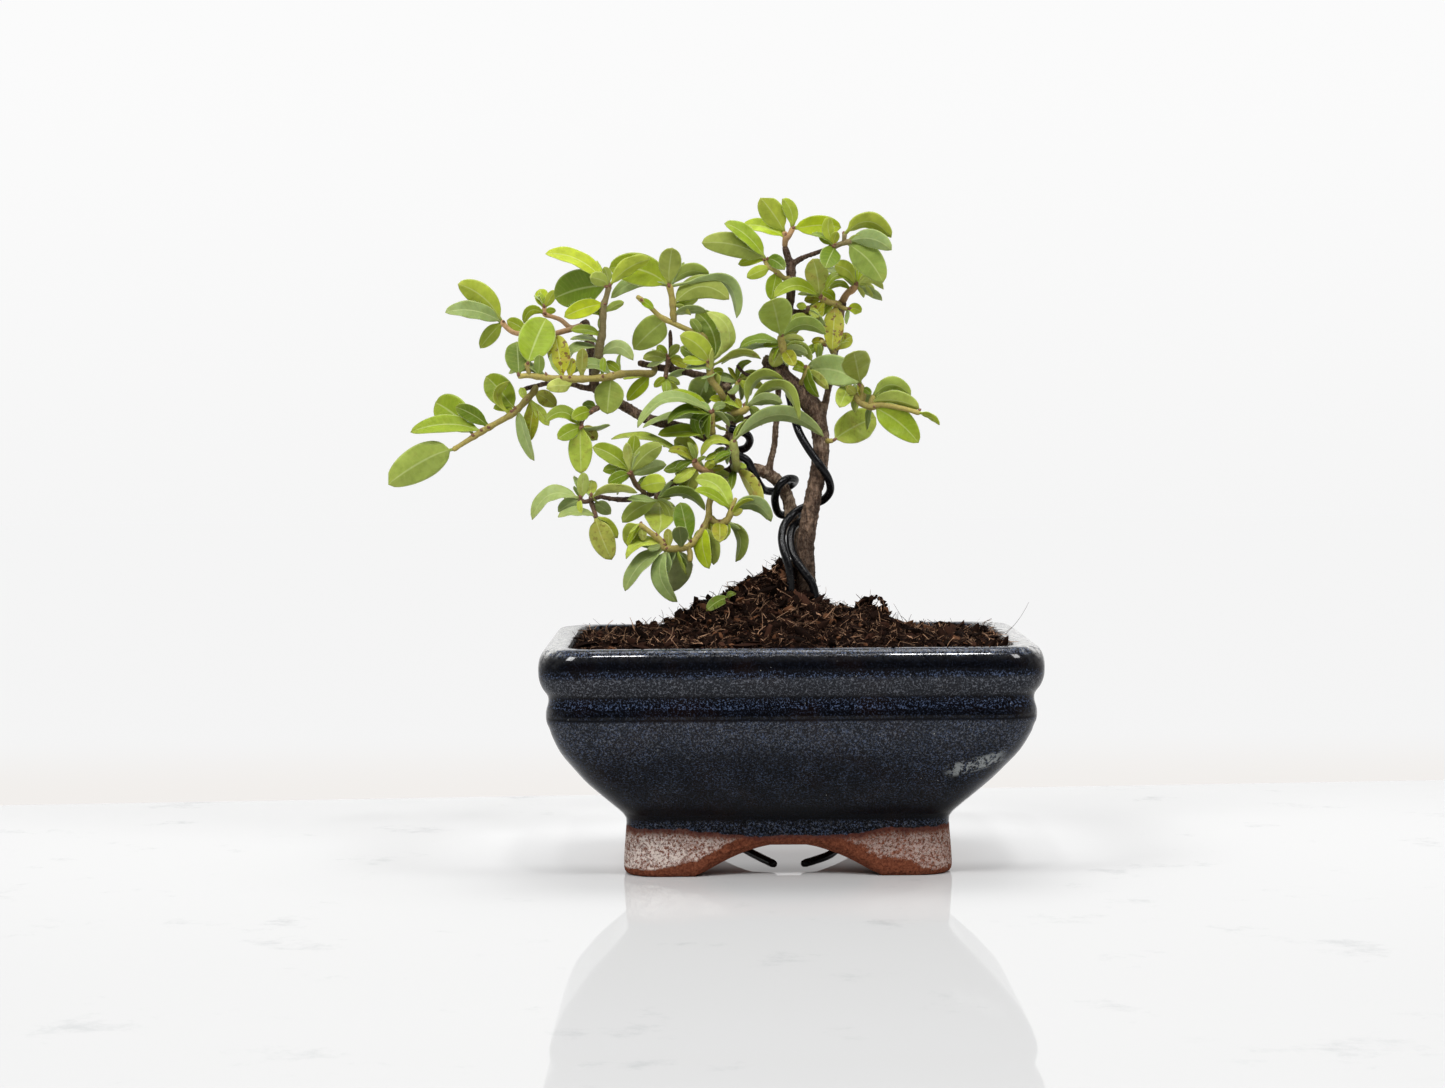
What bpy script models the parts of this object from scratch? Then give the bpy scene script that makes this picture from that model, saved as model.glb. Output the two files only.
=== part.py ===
"""A small cotoneaster bonsai: a young wired tree in a glazed pot on four feet.

Metres, +Z up, with the origin on the ground under the middle of the whole object's
outline. The pot stands 25 mm to the right of it, because the crown leans to the left.
"""
import math
import random

import bmesh
import bpy
from mathutils import Vector
from mathutils.bvhtree import BVHTree

MM = 0.001
GAP = 0.3                      # clearance between touching pieces, mm

# The branches and leaves are drawn as a front elevation in the plane y = 0, in
# millimetres. A point that lies further back is moved along its own line of sight from
# the eye, so that the front view keeps the drawn outline.
EYE = Vector((4.4, -930.0, 139.4))

POT_X = 25.0                   # middle of the pot
RIM_HALF_X = 75.0
RIM_HALF_Y = 58.0
RIM_RADIUS = 13.0              # corner radius of the rim in plan
CORNER_STEPS = 3               # segments in each rounded corner

FLOOR_TOP = 16.5
DRAIN_X = 24.0                 # drain holes, left and right of the pot's middle
DRAIN_RADIUS = 6.0

WIRE_RADIUS = 1.25
BLADE = 0.62                   # thickness of a leaf
PETIOLE = 0.95                 # width of a leaf's stalk


def at_depth(x, z, y):
    """Place a point of the front elevation at depth y, along its line of sight."""
    spread = (y - EYE.y) / -EYE.y
    return Vector((EYE.x + (x - EYE.x) * spread, y, EYE.z + (z - EYE.z) * spread))


def clear_scene():
    for thing in list(bpy.data.objects):
        bpy.data.objects.remove(thing)


def material(name, colour, roughness):
    made = bpy.data.materials.new(name)
    made.use_nodes = True
    shader = made.node_tree.nodes["Principled BSDF"]
    shader.inputs["Base Color"].default_value = (*colour, 1.0)
    shader.inputs["Roughness"].default_value = roughness
    shader.inputs["Metallic"].default_value = 0.0
    made.diffuse_color = (*colour, 1.0)
    return made


def make_object(name, points, faces, finish, smooth=False):
    """Make an object from points in millimetres and its faces."""
    mesh = bpy.data.meshes.new(name)
    mesh.from_pydata([Vector(p) * MM for p in points], [], faces)
    shape = bmesh.new()
    shape.from_mesh(mesh)
    bmesh.ops.recalc_face_normals(shape, faces=shape.faces)
    shape.to_mesh(mesh)
    shape.free()
    thing = bpy.data.objects.new(name, mesh)
    thing.data.materials.append(finish)
    bpy.context.scene.collection.objects.link(thing)
    if smooth:
        mesh.shade_smooth()
        mesh.set_sharp_from_angle(angle=math.radians(40))
    return thing


def apply_boolean(target, others, operation, solver="EXACT"):
    """Combine target with the other objects in one step, then remove them."""
    group = bpy.data.collections.new("cut")
    bpy.context.scene.collection.children.link(group)
    for other in others:
        bpy.context.scene.collection.objects.unlink(other)
        group.objects.link(other)
    step = target.modifiers.new("Boolean", "BOOLEAN")
    step.operation = operation
    step.operand_type = "COLLECTION"
    step.collection = group
    step.solver = solver
    depsgraph = bpy.context.evaluated_depsgraph_get()
    result = bpy.data.meshes.new_from_object(target.evaluated_get(depsgraph))
    target.modifiers.remove(step)
    target.data = result
    for other in others:
        bpy.data.objects.remove(other)
    bpy.data.collections.remove(group)


def smooth_route(route, step):
    """Points about step apart on a smooth curve through the route's own points.

    Each point of the route is (place, radius); so is each point that comes back.
    """
    out = []
    last = len(route) - 1
    for i in range(last):
        before, start = route[max(i - 1, 0)], route[i]
        end, after = route[i + 1], route[min(i + 2, last)]
        pieces = max(1, round((end[0] - start[0]).length / step))
        for k in range(pieces):
            t = k / pieces
            place = (start[0] * (2 * t ** 3 - 3 * t ** 2 + 1)
                     + (end[0] - before[0]) * 0.5 * (t ** 3 - 2 * t ** 2 + t)
                     + end[0] * (3 * t ** 2 - 2 * t ** 3)
                     + (after[0] - start[0]) * 0.5 * (t ** 3 - t ** 2))
            out.append((place, start[1] + (end[1] - start[1]) * t))
    out.append(route[-1])
    return out


def tube_skin(route, sides):
    """Points and faces of a closed tube along the route, with flat ends."""
    points = []
    ahead = (route[1][0] - route[0][0]).normalized()
    across = ahead.orthogonal().normalized()
    for i, (place, radius) in enumerate(route):
        nearby = route[min(i + 1, len(route) - 1)][0] - route[max(i - 1, 0)][0]
        ahead = nearby.normalized()
        across = (across - ahead * across.dot(ahead)).normalized()
        up = ahead.cross(across)
        for k in range(sides):
            turn = 2 * math.pi * k / sides
            points.append(place + (across * math.cos(turn) + up * math.sin(turn)) * radius)
    faces = []
    for i in range(len(route) - 1):
        for k in range(sides):
            a, b = i * sides + k, i * sides + (k + 1) % sides
            faces.append((a, b, b + sides, a + sides))
    faces.append(tuple(range(sides)))
    faces.append(tuple(range(len(points) - sides, len(points))))
    return points, faces


def tube(name, route, sides, finish):
    return make_object(name, *tube_skin(route, sides), finish)


def surface_of(thing):
    """A search tree of an object's faces, in millimetres."""
    places = [v.co / MM for v in thing.data.vertices]
    return BVHTree.FromPolygons(places, [tuple(p.vertices) for p in thing.data.polygons])


def height_above(surface, place):
    """Signed distance of a place from a closed surface, positive outside."""
    hit, normal, _, distance = surface.find_nearest(place)
    return math.copysign(distance, (place - hit).dot(normal))


# The wood. Each branch is a list of (x, z, depth, radius) on the front elevation.

BRANCHES = {
    "trunk_and_cut_limb": [
        (30.2, 67, 0, 4.4), (30.1, 78, 0, 4.0), (30, 86, 0, 3.5), (30, 90.5, 0, 3.1),
        (30.1, 98.5, 0, 2.8), (31.4, 106.8, 0.5, 2.7), (33, 115, 0.5, 2.6),
        (34.7, 123.4, 1, 2.5), (35.2, 129.5, 1, 2.6), (34.4, 136, 1, 2.7),
        (33, 140.5, 1, 3.1), (30, 144.5, 1, 3.1), (25.5, 148.5, 1.5, 2.9),
        (21.1, 152.9, 2, 2.7), (17.9, 156.8, 2, 1.9)],
    "left_trunk": [
        (29.6, 87, 1.5, 2.6), (27.6, 96, 4.5, 2.3), (26.2, 103, 7, 2.15),
        (25.6, 109, 8, 2.1), (24.5, 113.5, 8, 2.0), (22.3, 117.6, 7.5, 2.0),
        (18.9, 120.4, 7, 1.95), (15, 121.9, 6.5, 1.9), (11, 122, 6, 1.8),
        (8.3, 124.6, 5.5, 1.7), (7.3, 130, 5.5, 1.6), (7.3, 137, 5, 1.6),
        (7.5, 143, 4.5, 1.55), (6.5, 146.5, 2.5, 1.6), (5.4, 149, -0.8, 1.6)],
    "bud_knot": [(35, 130.4, 0.5, 1.3), (37.2, 130.8, -0.6, 1.0)],
    "right_stem": [
        (35, 136.5, 1, 1.4), (36.3, 141, 1.6, 1.15), (37.2, 145.5, 3, 1.05),
        (38, 149, 5, 1.05), (39.6, 158, 8, 1.05), (41, 166, 9.5, 1.05),
        (41.6, 172, 9.5, 1.5), (42.2, 174.5, 9, 1.2)],
    "leader": [
        (24.4, 149.5, 1.8, 1.3), (24.3, 153, 1.4, 1.1), (23.6, 158, 1.6, 1.0),
        (22.9, 162, 2, 0.95), (24, 166, 2.5, 1.0), (25.4, 170, 3, 1.15),
        (26.2, 178, 3, 1.5), (26.1, 184, 3, 1.5), (24.9, 188.5, 3, 1.1),
        (24.2, 191.3, 3, 0.9)],
    "leader_right_twig": [(25.5, 170.3, 3, 0.9), (30.2, 170.6, 2, 0.75)],
    "upper_right_twig": [
        (26, 185, 3, 1.2), (30, 187.3, 2.2, 0.85), (34, 188.7, 1.2, 0.75),
        (37.4, 190, 0.4, 0.7)],
    "green_wood_shoot": [
        (18.8, 121, 6.6, 1.3), (19.5, 124.5, 5.6, 1.1), (20.6, 129, 4.6, 1.0),
        (21.1, 134.5, 4.6, 1.0), (21.7, 140, 5.4, 1.0), (22, 146, 6.8, 0.95),
        (22.4, 151, 7.2, 0.8)],
    "middle_twig": [
        (7.4, 136.6, 5, 0.8), (12, 137.8, 6.5, 0.7), (15.5, 139.4, 7.5, 0.6),
        (18.6, 140.8, 8, 0.5)],
    "brown_hooked_twig": [
        (18.5, 153.4, 1, 0.9), (14.2, 151, 0, 0.7), (11.2, 152, -0.8, 0.6),
        (9.2, 154.4, -1.4, 0.55)],
    "left_limb": [
        (7.4, 131, 5.5, 1.6), (3.5, 131.2, 4.6, 1.6), (0, 131.8, 4, 1.6),
        (-6, 134.5, 3, 1.6), (-14.5, 136.7, 2, 1.6), (-20, 138.5, 2, 1.6),
        (-26, 142, 2, 1.6), (-31, 144.8, 2, 1.6), (-34.6, 148, 2.2, 1.6),
        (-35.2, 155, 3, 1.5), (-36, 160, 4, 1.5), (-37, 165, 5, 1.5),
        (-38.2, 168.4, 5.6, 1.7)],
    "low_left_fork": [
        (-33.5, 147, 2, 1.1), (-38, 147.6, 1.6, 0.95), (-42, 148.7, 1, 0.85),
        (-49, 149.1, 0, 0.8), (-53, 148.2, 0, 0.8), (-57, 147.3, 0.5, 0.75)],
    "upper_left_branch": [
        (6.6, 145.4, 3.6, 1.2), (3.2, 149.4, 7.2, 1.15), (0, 150.7, 8.4, 1.15),
        (-4, 151.6, 9.4, 1.15), (-8, 152.6, 10.2, 1.15), (-12, 153.2, 10.8, 1.15),
        (-16, 154, 11.4, 1.1), (-21.5, 155.2, 12, 1.0)],
    "upright_twig": [
        (-11, 153.4, 10.6, 0.9), (-11.2, 160, 10, 0.75), (-11.3, 165.4, 9.4, 0.65)],
    "low_left_branch": [
        (8.6, 122.6, 5.8, 1.5), (4.9, 120.6, 4.6, 1.5), (0, 119.3, 3.6, 1.4),
        (-5, 119.3, 2, 1.3), (-9.5, 118.5, 0, 1.3), (-12, 117, -1.2, 1.25),
        (-16, 115.2, -2.4, 1.1), (-20, 114, -3.4, 1.0), (-25, 112.9, -4.4, 0.9),
        (-30, 113.2, -5, 0.8), (-34.3, 114, -5.4, 0.7)],
}
WOOD_SIDES = {"trunk_and_cut_limb": 9, "left_trunk": 8, "left_limb": 6,
              "low_left_branch": 6, "right_stem": 6, "leader": 6}


def branch_route(name, step=5.5):
    route = [(at_depth(x, z, y), radius) for x, z, y, radius in BRANCHES[name]]
    return smooth_route(route, step)


def build_wood(finish):
    parts = [tube(name, branch_route(name), WOOD_SIDES.get(name, 5), finish)
             for name in BRANCHES]
    wood = parts[0]
    wood.name = "trunk_and_branches"
    apply_boolean(wood, parts[1:], "UNION")
    return wood


# The black training wires, wound round the two trunks. Points are (x, z, depth).

WIRES = {
    "training_wire_right_trunk": [
        (25.6, 74, -5), (25.5, 84, -5.6), (25.2, 90, -5.8), (24.3, 93.8, -5.2),
        (23.2, 97.4, -3.8), (22.8, 101, -2), (23.6, 104.6, -0.2), (25.9, 107.6, 1.2),
        (28.3, 109.4, 3.5), (31.9, 110.9, 5.4), (35.7, 112.3, 4), (37.9, 115.2, 0.6),
        (37.3, 119, -2.4), (34.6, 123.4, -3.8), (31.2, 128.3, -2.6),
        (28.4, 133.3, -0.6), (26.9, 138, 2), (26.1, 141.7, 4.6), (25.2, 145.6, 6.4)],
    "training_wire_left_trunk": [
        (33.6, 72, -5), (33.4, 80, -5.2), (32.4, 85.7, -5.4), (29.8, 89.8, -5.4),
        (27.5, 93.3, -4.5), (25.8, 97, -2.6), (25.4, 100.8, -0.6), (26.2, 103.8, 1.4),
        (28.2, 105.6, 4.2), (30.1, 106.7, 8.2), (28.6, 107.3, 11.7),
        (25.2, 107.6, 12.6), (22.3, 108, 11.2), (21.1, 110, 8), (20.8, 113.5, 5),
        (22.2, 117, 3.6), (24.6, 118.9, 4.2), (27, 118.7, 8), (25.8, 117, 12),
        (21.6, 115.2, 12.4), (17.9, 115.4, 9), (15.9, 117.4, 4.8), (14.2, 120.9, 2.4),
        (12.5, 124.4, 1.6), (10.3, 125.9, 1.4), (7.3, 126.5, 1.6), (4.4, 127, 4.4),
        (5.2, 127.6, 8.4), (8.8, 127.8, 9.3), (11.8, 128.6, 8.2), (13.1, 130.8, 6.2),
        (12.2, 132.8, 3.4), (9.4, 134, 1.7), (6.6, 134.7, 1.6)],
}


def wire_route(name):
    return smooth_route([(at_depth(x, z, y), WIRE_RADIUS) for x, z, y in WIRES[name]], 4)


def build_wire(name, finish):
    return tube(name, wire_route(name), 6, finish)


# The pot: glazed outside down to its waist, bare clay below, on four corner feet.

# The pot's outer side from the ground up and over the rim, then down its inside:
# (inset from the rim's widest line, height).
POT_PROFILE = [
    (26.5, 0.0), (25.4, 1.1), (25.2, 4.5), (25.9, 15.2), (25.2, 17.8), (23.2, 20.1),
    (15.0, 28.2), (10.5, 33.5), (6.5, 38.7), (3.9, 43.8), (3.0, 46.4), (2.2, 48.6),
    (2.1, 51.4), (2.8, 54.2), (2.6, 56.2), (1.2, 58.4), (0.3, 60.8), (0.0, 63.4),
    (0.2, 66.6), (1.4, 69.4), (3.2, 70.5), (6.8, 70.5), (8.4, 69.7), (9.0, 68.0),
    (13.0, 46.0), (21.0, 32.0), (30.0, 21.5), (36.5, FLOOR_TOP)]
INSIDE_START = 22              # index of the first profile point inside the rim


def middle_x(z):
    """The pot's middle at a height: its lower part sits a little to the left."""
    return POT_X - 0.5 - 0.9 * min(1.0, max(0.0, (45 - z) / 17))


def plan_loop(inset, z):
    """A rounded rectangle of the pot's plan, inset from the rim's widest line."""
    half_x, half_y = RIM_HALF_X - inset, RIM_HALF_Y - inset
    radius = max(RIM_RADIUS - inset * 0.12, 6.0)
    loop = []
    for quarter, (sign_x, sign_y) in enumerate([(1, 1), (-1, 1), (-1, -1), (1, -1)]):
        for k in range(CORNER_STEPS + 1):
            turn = (quarter + k / CORNER_STEPS) * math.pi / 2
            loop.append(Vector((
                middle_x(z) + sign_x * (half_x - radius) + radius * math.cos(turn),
                sign_y * (half_y - radius) + radius * math.sin(turn), z)))
    return loop


def loft(loops):
    """Points and faces of a closed skin over loops of equal length, with flat ends."""
    count = len(loops[0])
    points = [place for loop in loops for place in loop]
    faces = [tuple(range(count)), tuple(range(len(points) - count, len(points)))]
    for i in range(len(loops) - 1):
        for k in range(count):
            a, b = i * count + k, i * count + (k + 1) % count
            faces.append((a, b, b + count, a + count))
    return points, faces


def arch_cutter(name, half_bottom, half_top, reach, along_x):
    """A long bar with the outline of a foot arch: wide at the ground, nearly round."""
    rise = [(0, 0), (0.1, 1.1), (0.33, 3.9), (0.56, 6.3), (0.82, 8.3), (1, 9.2)]
    shoulder = [(half_bottom + (half_top - half_bottom) * share, z) for share, z in rise]
    shoulder.insert(0, (half_bottom + 4, -4.0))
    outline = shoulder + [(-a, z) for a, z in reversed(shoulder)]
    loops = []
    for end in (-reach, reach):
        if along_x:
            loops.append([Vector((middle_x(0) + end, a, z)) for a, z in outline])
        else:
            loops.append([Vector((middle_x(0) + a, end, z)) for a, z in outline])
    points, faces = loft(loops)
    return make_object(name, points, faces, None)


def cylinder(name, x, y, low, high, radius, sides):
    loops = [[Vector((x + radius * math.cos(2 * math.pi * k / sides),
                      y + radius * math.sin(2 * math.pi * k / sides), z))
              for k in range(sides)] for z in (low, high)]
    points, faces = loft(loops)
    return make_object(name, points, faces, None)


def build_pot(finish):
    points, faces = loft([plan_loop(inset, z) for inset, z in POT_PROFILE])
    pot = make_object("pot", points, faces, finish, smooth=True)
    cutters = [arch_cutter("front_arch", 27.5, 5.5, 80, along_x=False),
               arch_cutter("side_arch", 14.5, 3.0, 90, along_x=True)]
    cutters += [cylinder("drain", POT_X + side * DRAIN_X, 0, 5, 22, DRAIN_RADIUS, 14)
                for side in (-1, 1)]
    for cutter in cutters:
        apply_boolean(pot, [cutter], "DIFFERENCE")
    return pot


# The soil: it fills the pot and heaps up round the foot of the tree.

SOIL_EDGE = 69.6               # level of the soil against the pot's wall
SOIL_RINGS = 6
SOIL_STEPS = 6                 # soil points along each side of the pot


def soil_height(x, y):
    """Height of the soil's surface: a broad heap with a steep knob behind the trunk."""
    heap = 13.5 * math.exp(-((x - 21) / 24) ** 2 - (y / 26) ** 2)
    knob = 7.5 * math.exp(-((x - 19) / 8.5) ** 2 - ((y - 4) / 8.5) ** 2)
    right_lump = 5.5 * math.exp(-((x - 50) / 5.5) ** 2 - ((y - 3) / 7) ** 2)
    left_lump = 2.5 * math.exp(-((x + 2) / 7) ** 2 - ((y - 2) / 8) ** 2)
    crumbs = (0.5 * math.sin(x * 0.71 + 1.3) * math.cos(y * 0.63)
              + 0.4 * math.sin(x * 0.37 - y * 0.83))
    return SOIL_EDGE + 1.2 + heap + knob + right_lump + left_lump + crumbs


def soil_outline(inset, z):
    """The pot's plan with extra points along its straight sides."""
    corners = plan_loop(inset, z)
    per_corner = CORNER_STEPS + 1
    loop = []
    for quarter in range(4):
        loop += corners[quarter * per_corner:(quarter + 1) * per_corner]
        start = corners[(quarter + 1) * per_corner - 1]
        end = corners[(quarter + 1) * per_corner % len(corners)]
        count = SOIL_STEPS if quarter % 2 == 0 else SOIL_STEPS - 2
        loop += [start.lerp(end, k / count) for k in range(1, count)]
    return loop


def build_soil(cutters, finish):
    inside = [(inset + GAP, z + GAP) for inset, z in reversed(POT_PROFILE[INSIDE_START + 1:])]
    loops = [soil_outline(inset, z) for inset, z in inside]
    edge = soil_outline(POT_PROFILE[INSIDE_START][0] + GAP + 0.6, SOIL_EDGE)
    middle = Vector((POT_X, 0, 0))
    for ring in range(SOIL_RINGS):
        share = 1 - ring / SOIL_RINGS
        loop = []
        for place in edge:
            flat = middle + (place - middle) * share
            blend = min(1, (1 - share) * 5)
            level = SOIL_EDGE + (soil_height(flat.x, flat.y) - SOIL_EDGE) * blend
            loop.append(Vector((flat.x, flat.y, level)))
        loops.append(loop)
    points, faces = loft(loops)
    faces.pop(1)
    top = Vector((POT_X, 0, soil_height(POT_X, 0)))
    points.append(top)
    count = len(edge)
    first = len(points) - 1 - count
    faces += [(first + k, first + (k + 1) % count, len(points) - 1) for k in range(count)]
    soil = make_object("soil", points, faces, finish)
    for cutter in cutters:
        apply_boolean(soil, [cutter], "DIFFERENCE")
    return soil


def hole_for(route, sides, top):
    """A cutter round a route's lower stretch, wider than it by the clearance."""
    wider = GAP + 0.06
    lower = [(place, radius + wider) for place, radius in route if place.z < top]
    below = lower[0][0] + (lower[0][0] - lower[1][0]).normalized() * wider
    return tube("hole", [(below, lower[0][1])] + lower, sides, None)


# What holds the tree in its pot: a wire staple through both drain holes, each covered
# inside by a small plastic screen.

ANCHOR = [
    (19.6, -20.5, 1.9), (14.0, -10.0, 3.2), (10.0, -4.0, 4.5), (6.0, -1.0, 5.5),
    (1.8, 0.0, 7.0), (1.0, 0.0, 11.5), (1.0, 0.0, 24.0), (3.6, 0.0, 29.6),
    (10.0, 0.0, 32.0), (40.0, 0.0, 32.0), (46.4, 0.0, 29.6), (49.0, 0.0, 24.0),
    (49.0, 0.0, 11.5), (48.2, 0.0, 7.0), (44.0, -1.0, 5.5), (40.0, -4.0, 4.5),
    (36.0, -11.0, 3.0), (28.2, -20.0, 1.9)]
SCREEN_HALF = 8.5
SCREEN_THICK = 1.0
SCREEN_LINES = [-8.5, -6.8, -3.5, -1.8, 1.8, 3.5, 6.8, 8.5]


def anchor_route():
    places = [(Vector((x, y, z)), WIRE_RADIUS) for x, y, z in ANCHOR]
    return smooth_route(places, 5.0)


def screen_pocket(x):
    """A cutter that keeps the soil clear of a screen."""
    reach = SCREEN_HALF + GAP
    loops = [[Vector((x + a, b, z)) for a, b in
              ((-reach, -reach), (reach, -reach), (reach, reach), (-reach, reach))]
             for z in (10.0, FLOOR_TOP + SCREEN_THICK + 2 * GAP)]
    points, faces = loft(loops)
    return make_object("pocket", points, faces, None)


def build_screen(name, x, finish):
    """A square plastic screen: bars round nine square holes."""
    low = FLOOR_TOP + GAP
    high = low + SCREEN_THICK
    count = len(SCREEN_LINES)
    points = [Vector((x + a, b, z)) for z in (low, high)
              for b in SCREEN_LINES for a in SCREEN_LINES]

    def solid(column, row):
        inside = 0 <= column < count - 1 and 0 <= row < count - 1
        return inside and not (column % 2 == 1 and row % 2 == 1)

    def index(column, row, level):
        return level * count * count + row * count + column

    faces = []
    for row in range(count - 1):
        for column in range(count - 1):
            if not solid(column, row):
                continue
            ring = [(column, row), (column + 1, row), (column + 1, row + 1), (column, row + 1)]
            beyond = [(column, row - 1), (column + 1, row), (column, row + 1), (column - 1, row)]
            faces.append(tuple(index(c, r, 1) for c, r in ring))
            faces.append(tuple(index(c, r, 0) for c, r in reversed(ring)))
            for k in range(4):
                if not solid(*beyond[k]):
                    a, b = ring[k], ring[(k + 1) % 4]
                    faces.append((index(*a, 0), index(*b, 0), index(*b, 1), index(*a, 1)))
    return make_object(name, points, faces, finish)


# The leafy sprays. Each has its stems, as lists of (x, z, depth, radius) whose first
# point lies inside the wood that carries it, and its leaves, as (base x, base z,
# tip x, tip z, width, bow): all as they are seen from the front. The bow is how far
# the midrib stands off its chord, upward, or to the right on an upright leaf.

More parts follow.
